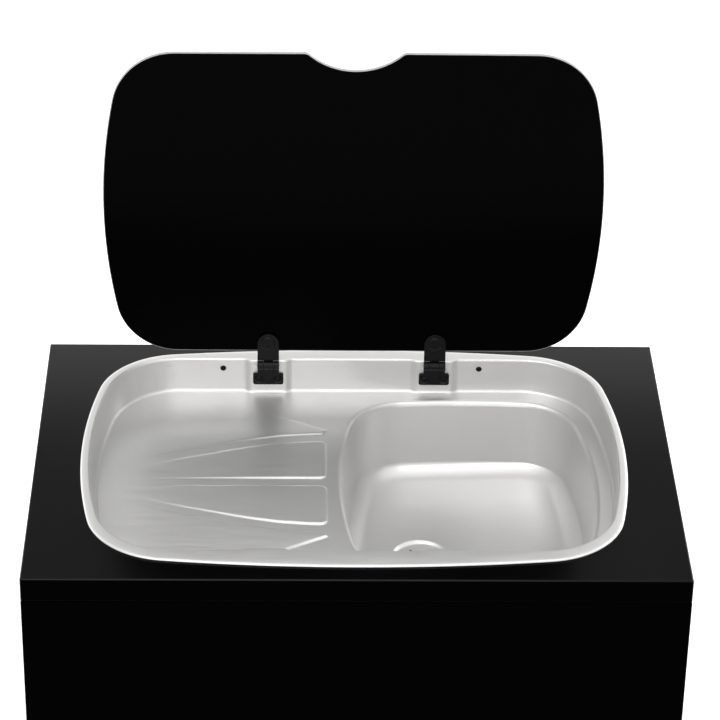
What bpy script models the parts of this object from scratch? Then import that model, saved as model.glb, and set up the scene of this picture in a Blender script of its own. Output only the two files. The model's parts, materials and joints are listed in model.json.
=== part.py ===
# A slide-out camping kitchen: a black cabinet on two telescopic runners, with an inset steel sink
# under a hinged glass lid. Metres, +Z up, the front faces -Y. The origin is the middle of the
# underside of the base tray. At rest the cabinet is slid in and the lid is open on its stop.

import math

import bmesh
import bpy
from mathutils import Matrix, Vector

# Overall
WORKTOP_WIDTH = 0.700
WORKTOP_THICKNESS = 0.028
FRONT_MARGIN = 0.022            # worktop in front of the sink's rim
REAR_MARGIN = 0.0145            # worktop behind the sink's rim
SEAT_GAP = 0.0003               # between pieces that rest on each other
CUT_OVERRUN = 0.004             # how far a cutter runs past what it cuts

# Sink rim, a barrel outline of arcs
RIM_WIDTH = 0.600
RIM_DEPTH = 0.435
RIM_SIDE_RADIUS = 0.660
RIM_END_RADIUS = 1.890
RIM_CORNER_RADIUS = 0.093
RIM_RISE = 0.0024               # flange's top above the worktop
RIM_ROLL = 0.0008               # how far the flange's outer edge turns down
SHEET = 0.001

# Well: bowed sides and straight ends, a little behind the rim's middle
WELL_Y = 0.004
WELL_WIDTH = 0.580
WELL_LENGTH = 0.384
WELL_SIDE_RADIUS = 0.610
WELL_CORNER_RADIUS = 0.084
WELL_DEPTH = 0.043              # drainer below the rim
WELL_DRAFT = 0.001              # how far the wall leans in over its depth
FLANGE_EDGE_RADIUS = 0.0025
WELL_FOOT_RADIUS = 0.006

# Bowl
BOWL_CENTRE_X = 0.131
BOWL_WIDTH = 0.284
BOWL_LENGTH = 0.352
BOWL_SIDE_RADIUS = 0.360
BOWL_END_RADIUS = 0.900
BOWL_CORNER_RADIUS = 0.074
BOWL_DEPTH = 0.1005             # below the drainer
BOWL_DRAFT = 0.014
BOWL_EDGE_RADIUS = 0.005
BOWL_FOOT_RADIUS = 0.034

# Waste
WASTE_X = 0.077
RECESS_RADIUS = 0.032
RECESS_DEPTH = 0.003
WASTE_HOLE_RADIUS = 0.022
WASTE_FLANGE_RADIUS = 0.0275
WASTE_FLANGE_THICKNESS = 0.0012
WASTE_SLOT = 0.0030
WASTE_SLOTS = 5
WASTE_GASKET_THICKNESS = 0.0020
WASTE_BODY_RADIUS = 0.0290
WASTE_BODY_WALL = 0.0020
WASTE_BODY_DEPTH = 0.022
WASTE_NECK_RADIUS = 0.0125
WASTE_NECK_LENGTH = 0.012
WASTE_NUT_RADIUS = 0.0170
WASTE_NUT_HEIGHT = 0.009
WASTE_SCREW_RADIUS = 0.0030
ELBOW_RADIUS = 0.0110
ELBOW_WALL = 0.0018
ELBOW_BEND = 0.014
ELBOW_TAIL = 0.055
OUTLET_CLEARANCE = 0.0022       # outlet's tail above the floor panel

# Drainer ribs
RIB_RISE = 0.0012
RIB_END_X = -0.030
RIB_FAN_LENGTH = 0.206
RIB_GROOVE = 0.016
RIB_CORNER_RADIUS = 0.008

# Lid
LID_WIDTH = 0.563
LID_DEPTH = 0.370
LID_THICKNESS = 0.005
LID_SIDE_RADIUS = 0.642
LID_CORNER_RADIUS = 0.071
NOTCH_WIDTH = 0.107
NOTCH_DEPTH = 0.0208
NOTCH_BLEND_RADIUS = 0.010
LID_SWING = math.radians(93)    # from closed to open

# Hinges
HINGE_X = 0.096                 # each hinge from the middle
PAD_WIDTH = 0.040               # pressed pads on the walls, where the hinges screw on
PAD_FOOT_WIDTH = 0.054
PAD_RISE = 0.0036
BARREL_RADIUS = 0.0055
AXIS_DROP = 0.0028              # hinge axis below the rim
HINGE_WIDTH = 0.0248
HINGE_BASE_WIDTH = 0.035
HINGE_BASE_HEIGHT = 0.0150
HINGE_BASE_THICKNESS = 0.0025
HINGE_BASE_DROP = 0.0136        # top of the base plate below the worktop
MIDDLE_KNUCKLE = 0.0110
PIN_RADIUS = 0.0020
LEAF_LENGTH = 0.040
LEAF_THICKNESS = 0.0026
LEAF_OFFSET = 0.0004            # leaf's under face above the axis when closed
GASKET_THICKNESS = 0.0006
GLASS_SETBACK = 0.0168          # glass edge from the hinge axis
CLAMP_RADIUS = 0.0105
CLAMP_THICKNESS = 0.0025
LID_SCREW_HEAD_RADIUS = 0.0090
LID_SCREW_HEAD = 0.0012
LID_SCREW_RADIUS = 0.0025
BASE_SCREW_SPAN = 0.0222
BACKING_THICKNESS = 0.0028

# Sink fixing screws
FIXING_X = 0.148
FIXING_DROP = 0.0100            # below the worktop
FIXING_HEAD_RADIUS = 0.0034

# Carcass
SIDE_THICKNESS = 0.015
CARCASS_WIDTH = 0.632
FRONT_THICKNESS = 0.016
REAR_THICKNESS = 0.012
FLOOR_THICKNESS = 0.009
FRONT_CLEARANCE = 0.006         # front panel above the floor
CARCASS_CLEARANCE = 0.0083      # side panels above the floor
HOSE_HOLE_RADIUS = 0.018
HOSE_HOLE_X = 0.077
DOWEL_RADIUS = 0.004
DOWEL_LENGTH = 0.030
DOWEL_Y = 0.176

# Tray and runners
TRAY_DEPTH = 0.420
TRAY_SHEET = 0.002
TRAY_FLANGE = 0.092
TRAY_BEND_RADIUS = 0.003
RUNNER_GAUGE = 0.0127           # gap that a runner fills
RUNNER_LENGTH = 0.400
RUNNER_SHEET = 0.0012
RUNNER_HEIGHT = 0.046
RUNNER_STEP = 0.010             # each member is lower than the one round it
RUNNER_CENTRE = 0.060           # above the floor
RUNNER_PLAY = 0.0008

# Worked out from the sizes above
OUTLET_DROP = ELBOW_BEND / 4     # straight piece above the outlet's bend
WASTE_HEIGHT = (SHEET + WASTE_GASKET_THICKNESS + WASTE_BODY_DEPTH + WASTE_NECK_LENGTH +
                OUTLET_DROP + ELBOW_BEND + ELBOW_RADIUS + 3 * SEAT_GAP)
RECESS_FLOOR = CARCASS_CLEARANCE + FLOOR_THICKNESS + OUTLET_CLEARANCE + WASTE_HEIGHT
BOWL_FLOOR = RECESS_FLOOR + RECESS_DEPTH
DRAINER = BOWL_FLOOR + BOWL_DEPTH
RIM_TOP = DRAINER + WELL_DEPTH
WORKTOP_HEIGHT = RIM_TOP - RIM_RISE
WORKTOP_UNDER = WORKTOP_HEIGHT - WORKTOP_THICKNESS
FRONT_Y = -RIM_DEPTH / 2 - FRONT_MARGIN
REAR_Y = RIM_DEPTH / 2 + REAR_MARGIN
WALL_REACH = WELL_LENGTH / 2     # front and rear walls from the well's middle
PAD_Y = WELL_Y + WALL_REACH - PAD_RISE
AXIS_Y = PAD_Y - SEAT_GAP - BARREL_RADIUS - SEAT_GAP
AXIS_Z = RIM_TOP - AXIS_DROP
SIDE_X = CARCASS_WIDTH / 2
INNER_X = SIDE_X - SIDE_THICKNESS
FLANGE_X = SIDE_X + RUNNER_GAUGE + SEAT_GAP
FRONT_INNER_Y = FRONT_Y + FRONT_THICKNESS
REAR_INNER_Y = REAR_Y - REAR_THICKNESS

BLACK = (0.012, 0.012, 0.013)
STEEL = (0.62, 0.61, 0.59)
ZINC = (0.55, 0.56, 0.58)
RUBBER = (0.02, 0.02, 0.02)


def clear_scene():
    for old in list(bpy.data.objects):
        bpy.data.objects.remove(old, do_unlink=True)


def new_collection(name):
    made = bpy.data.collections.new(name)
    bpy.context.scene.collection.children.link(made)
    return made


def material(name, colour, roughness, metallic):
    made = bpy.data.materials.new(name)
    made.use_nodes = True
    shader = made.node_tree.nodes["Principled BSDF"]
    shader.inputs["Base Color"].default_value = (*colour, 1)
    shader.inputs["Roughness"].default_value = roughness
    shader.inputs["Metallic"].default_value = metallic
    return made


clear_scene()
kitchen = new_collection("slide_out_camping_kitchen")
cutters = new_collection("cutters")

black_board = material("black_board", BLACK, 0.45, 0.0)
front_board = material("front_board", BLACK, 0.50, 0.0)
carcass_board = material("carcass_board", (0.03, 0.03, 0.032), 0.6, 0.0)
brushed_steel = material("brushed_steel", STEEL, 0.35, 1.0)
black_glass = material("black_glass", (0.003, 0.003, 0.003), 0.08, 0.0)
hinge_black = material("hinge_black", (0.01, 0.01, 0.01), 0.35, 0.0)
pin_steel = material("pin_steel", STEEL, 0.25, 1.0)
zinc_steel = material("zinc_steel", ZINC, 0.4, 1.0)
rubber = material("rubber", RUBBER, 0.8, 0.0)
black_plastic = material("black_plastic", (0.015, 0.015, 0.015), 0.5, 0.0)
beech = material("beech", (0.55, 0.38, 0.22), 0.7, 0.0)
tray_paint = material("tray_paint", (0.02, 0.02, 0.022), 0.5, 0.0)


# Outlines and profiles

def arc(centre, radius, start, end, steps):
    """Points along an arc, with both ends."""
    points = []
    for i in range(steps + 1):
        angle = start + (end - start) * i / steps
        points.append(Vector((centre[0] + radius * math.cos(angle),
                              centre[1] + radius * math.sin(angle))))
    return points


def barrel(width, depth, side_radius, end_radius, corner_radius, inset=0, steps=(2, 6, 3)):
    """A rectangle with bowed sides and ends: arcs that run into each other, drawn in by inset."""
    half_width, half_depth = width / 2 - inset, depth / 2 - inset
    side_radius, end_radius = side_radius - inset, end_radius - inset
    corner_radius = corner_radius - inset
    side_centre = Vector((half_width - side_radius, 0))
    end_centre = Vector((0, half_depth - end_radius))
    between = end_centre - side_centre
    near, far = side_radius - corner_radius, end_radius - corner_radius
    along = (near ** 2 - far ** 2 + between.length_squared) / (2 * between.length)
    across = math.sqrt(near ** 2 - along ** 2)
    unit = between.normalized()
    corner = side_centre + unit * along - Vector((-unit.y, unit.x)) * across
    if min(corner) < 0:
        corner = side_centre + unit * along + Vector((-unit.y, unit.x)) * across
    side_angle = math.atan2(*(corner - side_centre).yx)
    end_angle = math.atan2(*(corner - end_centre).yx)
    quarter = arc(side_centre, side_radius, 0, side_angle, steps[0])[:-1]
    quarter += arc(corner, corner_radius, side_angle, end_angle, steps[1])[:-1]
    quarter += arc(end_centre, end_radius, end_angle, math.pi / 2, steps[2])
    half = quarter + [Vector((-p.x, p.y)) for p in reversed(quarter[:-1])]
    return half + [Vector((p.x, -p.y)) for p in reversed(half[1:-1])]


def rounded(points, radii, steps=4):
    """An open line whose inner points become arcs of the given radii."""
    line = [Vector(points[0])]
    for before, here, after, radius in zip(points, points[1:], points[2:], radii):
        here = Vector(here)
        back, on = (Vector(before) - here).normalized(), (Vector(after) - here).normalized()
        half = back.angle(on) / 2
        start, end = here + back * radius / math.tan(half), here + on * radius / math.tan(half)
        middle = here + (back + on).normalized() * radius / math.sin(half)
        turn = (start - middle).angle_signed(end - middle)
        for i in range(steps + 1):
            spoke = (start - middle).copy()
            spoke.rotate(Matrix.Rotation(-turn * i / steps, 2))
            line.append(middle + spoke)
    return line + [Vector(points[-1])]


def ring(radius, steps):
    return arc((0, 0), radius, 0, 2 * math.pi, steps)[:-1]


# Making objects

def place(made, surface, group=None):
    (group or kitchen).objects.link(made)
    if surface:
        made.data.materials.append(surface)
    return made


def smooth(mesh, degrees=35):
    mesh.shade_smooth()
    mesh.set_sharp_from_angle(angle=math.radians(degrees))
    return mesh


def box_mesh(size):
    bm = bmesh.new()
    bmesh.ops.create_cube(bm, size=1, matrix=Matrix.Diagonal((*size, 1)))
    mesh = bpy.data.meshes.new("box")
    bm.to_mesh(mesh)
    bm.free()
    return mesh


def box(name, x, y, z, surface, group=None):
    """A box between pairs of coordinates."""
    made = bpy.data.objects.new(name, box_mesh([abs(b - a) for a, b in (x, y, z)]))
    made.location = [(a + b) / 2 for a, b in (x, y, z)]
    return place(made, surface, group)


def rod_mesh(radius, length, sides):
    bm = bmesh.new()
    bmesh.ops.create_cone(bm, cap_ends=True, segments=sides, radius1=radius, radius2=radius,
                          depth=length)
    mesh = bpy.data.meshes.new("rod")
    bm.to_mesh(mesh)
    bm.free()
    return smooth(mesh)


def towards(direction, position=(0, 0, 0)):
    """A matrix that turns +Z to a direction and moves to a position."""
    turn = Vector((0, 0, 1)).rotation_difference(Vector(direction)).to_matrix().to_4x4()
    return Matrix.Translation(position) @ turn


def finished_mesh(made):
    """The evaluated mesh of an object, which is then removed."""
    bpy.context.view_layer.update()
    seen = made.evaluated_get(bpy.context.evaluated_depsgraph_get())
    mesh = bpy.data.meshes.new_from_object(seen)
    bm = bmesh.new()
    bm.from_mesh(mesh)
    bmesh.ops.remove_doubles(bm, verts=bm.verts, dist=SEAT_GAP / 30)
    bmesh.ops.recalc_face_normals(bm, faces=bm.faces)
    bm.to_mesh(mesh)
    bm.free()
    bpy.data.objects.remove(made, do_unlink=True)
    return mesh


def plate_mesh(outlines, thickness):
    """A flat plate from closed outlines, the first the edge and the rest holes, from z 0 up."""
    curve = bpy.data.curves.new("outline", "CURVE")
    curve.dimensions = "2D"
    curve.fill_mode = "BOTH"
    curve.extrude = thickness / 2
    for outline in outlines:
        spline = curve.splines.new("POLY")
        spline.points.add(len(outline) - 1)
        for point, corner in zip(spline.points, outline):
            point.co = (corner[0], corner[1], 0, 1)
        spline.use_cyclic_u = True
    made = bpy.data.objects.new("outline", curve)
    kitchen.objects.link(made)
    mesh = finished_mesh(made)
    mesh.transform(Matrix.Translation((0, 0, thickness / 2)))
    return mesh


def turned_mesh(profile, sides, closed=False):
    """A turned solid: the profile runs down its outer side, from top to bottom."""
    mesh = bpy.data.meshes.new("profile")
    edges = [(i, i + 1) for i in range(len(profile) - 1)]
    if closed:
        edges.append((len(profile) - 1, 0))
    mesh.from_pydata([(r, 0, z) for r, z in profile], edges, [])
    made = bpy.data.objects.new("profile", mesh)
    kitchen.objects.link(made)
    screw = made.modifiers.new("turn", "SCREW")
    screw.steps = screw.render_steps = sides
    screw.use_merge_vertices = True
    screw.merge_threshold = SEAT_GAP / 30
    return smooth(finished_mesh(made))


def group_mesh(copies):
    """Several meshes, each moved by its matrix, as one mesh of separate solids."""
    bm = bmesh.new()
    for mesh, matrix in copies:
        moved = mesh.copy()
        moved.transform(matrix)
        bm.from_mesh(moved)
        bpy.data.meshes.remove(moved)
    mesh = bpy.data.meshes.new("group")
    bm.to_mesh(mesh)
    bm.free()
    return mesh


def solid(name, mesh, surface, location=(0, 0, 0), group=None):
    made = bpy.data.objects.new(name, mesh.copy())
    made.data.materials.clear()
    made.location = location
    return place(made, surface, group)


def fastener(name, mesh, matrix, surface):
    made = solid(name, mesh, surface)
    made.matrix_world = matrix
    return made


def combine(made, tool, operation):
    tool.hide_render = True
    tool.display_type = "WIRE"
    tool.parent, tool.matrix_parent_inverse = made.parent, made.matrix_parent_inverse.copy()
    step = made.modifiers.new(operation.lower(), "BOOLEAN")
    step.operation = operation
    step.object = tool
    step.solver = "EXACT"


def cut(made, mesh, location=(0, 0, 0)):
    combine(made, solid(made.name + "_cutter", mesh, None, location, cutters), "DIFFERENCE")


def join(made, mesh, location=(0, 0, 0)):
    combine(made, solid(made.name + "_join", mesh, None, location, cutters), "UNION")


def soften(made, width, segments=2):
    bevel = made.modifiers.new("soften", "BEVEL")
    bevel.width = width
    bevel.segments = segments
    bevel.limit_method = "ANGLE"


def thicken(made, thickness):
    shell = made.modifiers.new("sheet", "SOLIDIFY")
    shell.thickness = thickness
    shell.offset = -1
    shell.use_even_offset = True
    shell.use_quality_normals = True


# Screws: the head lies at the origin and the shank points along +Z

SCREW_SIDES = 10
PAN_HEAD_SHARE = 2.0            # head radius to shank radius
PAN_RISE_SHARE = 1.1            # head height to shank radius
HOLE_PLAY = 0.0003


def pan_screw(shank_radius, length, head_radius=None, head_height=None):
    """A screw whose head sits under z 0 and whose shank runs up from it."""
    head = head_radius or shank_radius * PAN_HEAD_SHARE
    rise = head_height or shank_radius * PAN_RISE_SHARE
    return turned_mesh([(0, length), (shank_radius, length), (shank_radius, 0), (head, 0),
                        (head, -rise / 2), (head / 2, -rise), (0, -rise)], SCREW_SIDES)


# Sink

def loft(bm, rings):
    for outer, inner in zip(rings, rings[1:]):
        for i in range(len(outer)):
            bm.faces.new((outer[i - 1], outer[i], inner[i], inner[i - 1]))


def fill_between(bm, outer, inner):
    loops = [bm.edges.get((loop[i - 1], loop[i])) for loop in (outer, inner)
             for i in range(len(loop))]
    bmesh.ops.triangle_fill(bm, edges=loops, use_beauty=True, normal=(0, 0, 1))


def rim_outline(inset):
    return barrel(RIM_WIDTH, RIM_DEPTH, RIM_SIDE_RADIUS, RIM_END_RADIUS, RIM_CORNER_RADIUS, inset)


def well_outline(inset):
    return [p + Vector((0, WELL_Y)) for p in
            barrel(WELL_WIDTH, WELL_LENGTH, WELL_SIDE_RADIUS, WELL_SIDE_RADIUS * FLAT_END_SHARE,
                   WELL_CORNER_RADIUS, inset)]


def bowl_outline(inset):
    return [p + Vector((BOWL_CENTRE_X, WELL_Y)) for p in
            barrel(BOWL_WIDTH, BOWL_LENGTH, BOWL_SIDE_RADIUS, BOWL_END_RADIUS,
                   BOWL_CORNER_RADIUS, inset)]


def rings_at(bm, outline, profile):
    return [[bm.verts.new((p.x, p.y, height)) for p in outline(inset)]
            for inset, height in profile]


FLAT_END_SHARE = 80             # end radius to side radius, for ends that are all but straight
RIM_PROFILE = [(0, RIM_TOP - RIM_ROLL), (2 * RIM_ROLL, RIM_TOP)]
WELL_PROFILE = rounded([(-2 * FLANGE_EDGE_RADIUS, RIM_TOP), (0, RIM_TOP), (WELL_DRAFT, DRAINER),
                        (WELL_DRAFT + 2 * WELL_FOOT_RADIUS, DRAINER)],
                       [FLANGE_EDGE_RADIUS, WELL_FOOT_RADIUS])[1:-1]
BOWL_PROFILE = rounded([(-2 * BOWL_EDGE_RADIUS, DRAINER), (0, DRAINER),
                        (BOWL_DRAFT, BOWL_FLOOR),
                        (BOWL_DRAFT + 2 * BOWL_FOOT_RADIUS, BOWL_FLOOR)],
                       [BOWL_EDGE_RADIUS, BOWL_FOOT_RADIUS], 5)[1:-1]
RECESS_PROFILE = [(RECESS_RADIUS, BOWL_FLOOR), (RECESS_RADIUS - RECESS_DEPTH, RECESS_FLOOR),
                  (WASTE_HOLE_RADIUS, RECESS_FLOOR)]


def sink_sheet():
    """The upper face of the pressing: rim, well, drainer, bowl and waste recess."""
    bm = bmesh.new()
    well = rings_at(bm, rim_outline, RIM_PROFILE) + rings_at(bm, well_outline, WELL_PROFILE)
    bowl = rings_at(bm, bowl_outline, BOWL_PROFILE)
    recess = [[bm.verts.new((p.x + WASTE_X, p.y + WELL_Y, height))
               for p in ring(radius, len(bowl[0]) // 2)] for radius, height in RECESS_PROFILE]
    for rings in (well, bowl, recess):
        loft(bm, rings)
    fill_between(bm, well[-1], bowl[0])
    fill_between(bm, bowl[-1], recess[0])
    for face in bm.faces:
        face.normal_update()
        if face.normal.z < 0:
            face.normal_flip()
    mesh = bpy.data.meshes.new("sink_sheet")
    bm.to_mesh(mesh)
    bm.free()
    return smooth(mesh)


def wall_at(drop):
    """How far the well's wall has leaned in at a depth below the rim."""
    return WELL_DRAFT * drop / WELL_DEPTH


def pad_mesh(side, x):
    """A hinge pad on the rear (1) or front (-1) wall: flat in front, joined into the sheet."""
    face, back = WALL_REACH - PAD_RISE, WALL_REACH + SHEET / 2
    bottom = DRAINER - SHEET / 2
    mesh = plate_mesh([[(x - PAD_WIDTH / 2, face), (x + PAD_WIDTH / 2, face),
                        (x + PAD_FOOT_WIDTH / 2, back), (x - PAD_FOOT_WIDTH / 2, back)]],
                      WELL_DEPTH)
    for vertex in mesh.vertices:
        vertex.co.z += bottom
        if vertex.co.y > face + SEAT_GAP:
            vertex.co.y -= wall_at(RIM_TOP - vertex.co.z)
        vertex.co.y = WELL_Y + side * vertex.co.y
    return closed_out(mesh)


def closed_out(mesh):
    """Faces of a closed mesh turned to face out."""
    bm = bmesh.new()
    bm.from_mesh(mesh)
    bmesh.ops.recalc_face_normals(bm, faces=bm.faces)
    bm.to_mesh(mesh)
    bm.free()
    return mesh


# Edge of the fan of ribs, from its tip to the bowl: shares of its length and of its half width
FAN_SHARES = [(1.0, 0.06), (0.90, 0.36), (0.73, 0.60), (0.49, 0.79), (0.25, 0.92), (0.08, 0.98),
              (0.0, 0.90)]
FAN_HALF_WIDTH = 0.082
OUTER_RIB_SHARES = [(0.0, 0.0), (0.05, 0.16), (0.25, 0.60), (0.40, 1.0), (0.62, 0.98), (0.88, 0.62),
                    (0.42, 0.16)]
OUTER_RIB_WIDTH = 0.040


def inner_rib(side):
    """One of the two long ribs beside the drainer's middle groove."""
    near = RIB_GROOVE / 2
    edge = [(RIB_END_X - along * RIB_FAN_LENGTH, side * max(near + SHEET, out * FAN_HALF_WIDTH))
            for along, out in FAN_SHARES]
    foot = [(RIB_END_X, side * (near + RIB_CORNER_RADIUS / 2)),
            (RIB_END_X - RIB_CORNER_RADIUS / 2, side * near),
            (RIB_END_X - RIB_FAN_LENGTH, side * near)]
    return edge + foot


def outer_rib(side):
    """The short rib that runs from the bowl's edge out to the well's wall."""
    start = FAN_HALF_WIDTH + RIB_GROOVE
    return [(RIB_END_X - along * RIB_FAN_LENGTH / 2, side * (start + out * OUTER_RIB_WIDTH))
            for along, out in OUTER_RIB_SHARES[:4]] + \
           [(RIB_END_X - RIB_FAN_LENGTH / 2, side * (start - RIB_GROOVE / 4)),
            (RIB_END_X - RIB_FAN_LENGTH / 4, side * (start + SHEET))]


def ribs_mesh():
    outlines = [inner_rib(1), inner_rib(-1), outer_rib(1), outer_rib(-1)]
    height = SHEET / 2 + RIB_RISE
    base = Matrix.Translation((0, WELL_Y, DRAINER - SHEET / 2))
    return group_mesh([(closed_out(plate_mesh([outline], height)), base) for outline in outlines])


def fixing_places(gap):
    """The four fixing screws by name: place on the wall's inner face, and direction out."""
    out = WALL_REACH - wall_at(RIM_RISE + FIXING_DROP) - gap
    return {end + "_" + side: (Vector((x, WELL_Y + way * out, WORKTOP_HEIGHT - FIXING_DROP)),
                               Vector((0, way, 0)))
            for side, x in (("left", -FIXING_X), ("right", FIXING_X))
            for end, way in (("rear", 1), ("front", -1))}


FIXING_RADIUS = 0.0018
FIXING_LENGTH = 0.016
FIXING_HEAD = 0.0018


def build_sink():
    made = solid("sink_pressing", sink_sheet(), brushed_steel)
    thicken(made, SHEET)
    pads = [(pad_mesh(way, x), Matrix.Identity(4)) for side, x in HINGES for way in (1, -1)]
    join(made, group_mesh(pads))
    join(made, ribs_mesh())
    rod = rod_mesh(FIXING_RADIUS + HOLE_PLAY, FIXING_LENGTH, SCREW_SIDES)
    holes = [(rod, towards(out, at)) for at, out in fixing_places(0).values()]
    rod = rod_mesh(BASE_SCREW_RADIUS + HOLE_PLAY, FIXING_LENGTH, SCREW_SIDES)
    holes += [(rod, towards((0, 1, 0), at)) for at in base_screw_places().values()]
    cut(made, group_mesh(holes))
    return made


def build_sink_screws():
    screw = pan_screw(FIXING_RADIUS, FIXING_LENGTH, FIXING_HEAD_RADIUS, FIXING_HEAD)
    for name, (at, out) in fixing_places(SEAT_GAP).items():
        fastener("sink_screw_" + name, screw, towards(out, at), hinge_black)


SEAL_WIDTH = 0.0030
SEAL_INSET = 0.0018
CUTOUT_GAP = 0.0050             # worktop's cut-out from the well's wall


def build_rim_seal():
    edge, hole = rim_outline(SEAL_INSET), rim_outline(SEAL_INSET + SEAL_WIDTH)
    thickness = RIM_RISE - SHEET - 2 * SEAT_GAP
    solid("rim_seal", closed_out(plate_mesh([edge, hole], thickness)), rubber,
          (0, 0, WORKTOP_HEIGHT + SEAT_GAP))


# Waste fitting

WASTE_SIDES = 24


def build_waste():
    centre = (WASTE_X, WELL_Y, 0)
    under = RECESS_FLOOR + SEAT_GAP
    flange_top = under + WASTE_FLANGE_THICKNESS
    flange = solid("waste_flange", turned_mesh(
        [(0, flange_top), (WASTE_FLANGE_RADIUS - WASTE_FLANGE_THICKNESS, flange_top),
         (WASTE_FLANGE_RADIUS, under), (0, under)], WASTE_SIDES), brushed_steel, centre)
    slot = box_mesh((WASTE_SLOT, WASTE_HOLE_RADIUS / 2, 4 * WASTE_FLANGE_THICKNESS))
    reach = WASTE_HOLE_RADIUS / 2 + WASTE_SLOT
    slots = [(slot, Matrix.Rotation(2 * math.pi * i / WASTE_SLOTS, 4, "Z") @
              Matrix.Translation((0, reach, under))) for i in range(WASTE_SLOTS)]
    rod = rod_mesh(WASTE_SCREW_RADIUS + HOLE_PLAY, 4 * WASTE_FLANGE_THICKNESS, SCREW_SIDES)
    cut(flange, group_mesh(slots + [(rod, Matrix.Translation((0, 0, under)))]), centre)

    gasket_top = RECESS_FLOOR - SHEET - SEAT_GAP
    gasket_under = gasket_top - WASTE_GASKET_THICKNESS
    solid("waste_gasket", turned_mesh(
        [(WASTE_HOLE_RADIUS, gasket_top), (WASTE_BODY_RADIUS, gasket_top),
         (WASTE_BODY_RADIUS, gasket_under), (WASTE_HOLE_RADIUS, gasket_under)],
        WASTE_SIDES, closed=True), rubber, centre)

    body_top = gasket_under - SEAT_GAP
    body_floor = body_top - WASTE_BODY_DEPTH
    neck_end = body_floor - WASTE_NECK_LENGTH
    bore = WASTE_NECK_RADIUS - WASTE_BODY_WALL
    hub = WASTE_SCREW_RADIUS + 2 * HOLE_PLAY + WASTE_BODY_WALL
    body = solid("waste_body", turned_mesh(
        [(WASTE_BODY_RADIUS - WASTE_BODY_WALL, body_top), (WASTE_BODY_RADIUS, body_top),
         (WASTE_BODY_RADIUS, body_floor + WASTE_BODY_WALL),
         (WASTE_NECK_RADIUS, body_floor), (WASTE_NECK_RADIUS, neck_end), (bore, neck_end),
         (bore, body_floor + WASTE_BODY_WALL),
         (WASTE_BODY_RADIUS - WASTE_BODY_WALL, body_floor + 2 * WASTE_BODY_WALL)],
        WASTE_SIDES, closed=True), black_plastic, centre)
    bridge = box_mesh((2 * bore + WASTE_BODY_WALL, 2 * WASTE_BODY_WALL, WASTE_NECK_LENGTH / 2))
    post = rod_mesh(hub, WASTE_NECK_LENGTH / 2, SCREW_SIDES)
    level = Matrix.Translation((0, 0, body_floor - WASTE_NECK_LENGTH / 4))
    join(body, group_mesh([(bridge, level)]), centre)
    join(body, group_mesh([(post, level)]), centre)
    rod = rod_mesh(WASTE_SCREW_RADIUS + HOLE_PLAY, WASTE_BODY_DEPTH, SCREW_SIDES)
    cut(body, group_mesh([(rod, level)]), centre)

    screw_length = flange_top - body_floor + WASTE_NECK_LENGTH / 2
    fastener("waste_screw", pan_screw(WASTE_SCREW_RADIUS, screw_length),
             towards((0, 0, -1), (WASTE_X, WELL_Y, flange_top + SEAT_GAP)), pin_steel)

    nut_top = body_floor - SEAT_GAP
    nut_under = nut_top - WASTE_NUT_HEIGHT
    nut_bore = WASTE_NECK_RADIUS + SEAT_GAP
    solid("waste_nut", turned_mesh(
        [(nut_bore, nut_top), (WASTE_NUT_RADIUS, nut_top), (WASTE_NUT_RADIUS, nut_under),
         (nut_bore, nut_under)], WASTE_SIDES, closed=True), black_plastic, centre)

    build_elbow(neck_end - SEAT_GAP)


def build_elbow(top):
    """The outlet: down from the neck, round a bend and back to a hose tail."""
    route = [Vector((0, 0, top)), Vector((0, 0, top - OUTLET_DROP))]
    bend = arc((ELBOW_BEND, top - OUTLET_DROP), ELBOW_BEND, math.pi, 3 * math.pi / 2, 5)
    route += [Vector((0, p.x, p.y)) for p in bend[1:]]
    route.append(route[-1] + Vector((0, ELBOW_TAIL, 0)))
    outer, inner = pipe_mesh(route, ELBOW_RADIUS), pipe_mesh(
        [route[0] + Vector((0, 0, ELBOW_WALL))] + route[1:-1] +
        [route[-1] + Vector((0, ELBOW_WALL, 0))], ELBOW_RADIUS - ELBOW_WALL)
    elbow = solid("waste_elbow", outer, black_plastic, (WASTE_X, WELL_Y, 0))
    cut(elbow, inner, (WASTE_X, WELL_Y, 0))


def pipe_mesh(route, radius):
    curve = bpy.data.curves.new("pipe", "CURVE")
    curve.dimensions = "3D"
    curve.bevel_depth = radius
    curve.bevel_resolution = 2
    curve.use_fill_caps = True
    spline = curve.splines.new("POLY")
    spline.points.add(len(route) - 1)
    for point, place_at in zip(spline.points, route):
        point.co = (*place_at, 1)
    made = bpy.data.objects.new("pipe", curve)
    kitchen.objects.link(made)
    return finished_mesh(made)


# Hinges. The lid's own pieces are drawn closed, about the hinge axis, and their parent empty
# turns them open.

HINGES = (("left", -HINGE_X), ("right", HINGE_X))
LEAF_TIP = LEAF_LENGTH - HINGE_WIDTH / 2       # middle of the leaf's round end
GASKET_UNDER = LEAF_OFFSET + LEAF_THICKNESS + SEAT_GAP
GLASS_UNDER = GASKET_UNDER + GASKET_THICKNESS + SEAT_GAP
CLAMP_UNDER = GLASS_UNDER + LID_THICKNESS + SEAT_GAP
KNUCKLE_PLAY = 0.0003
PIN_HEAD = 0.0015
BASE_SCREW_RADIUS = 0.0018
BARREL_SIDES = 16
BACKING_Y = WELL_Y + WALL_REACH + SHEET + SEAT_GAP


def base_screw_places():
    """Where the base plates' screws cross the pads' faces, by name."""
    level = WORKTOP_HEIGHT - HINGE_BASE_DROP - HINGE_BASE_HEIGHT / 2
    return {f"{side}_{i + 1}": Vector((x + (i - 1 / 2) * BASE_SCREW_SPAN, PAD_Y, level))
            for side, x in HINGES for i in range(2)}


def lid_pivot():
    pivot = bpy.data.objects.new("lid_pivot", None)
    pivot.location = (0, AXIS_Y, AXIS_Z)
    pivot.rotation_euler = (-LID_SWING, 0, 0)
    kitchen.objects.link(pivot)
    return pivot


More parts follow.
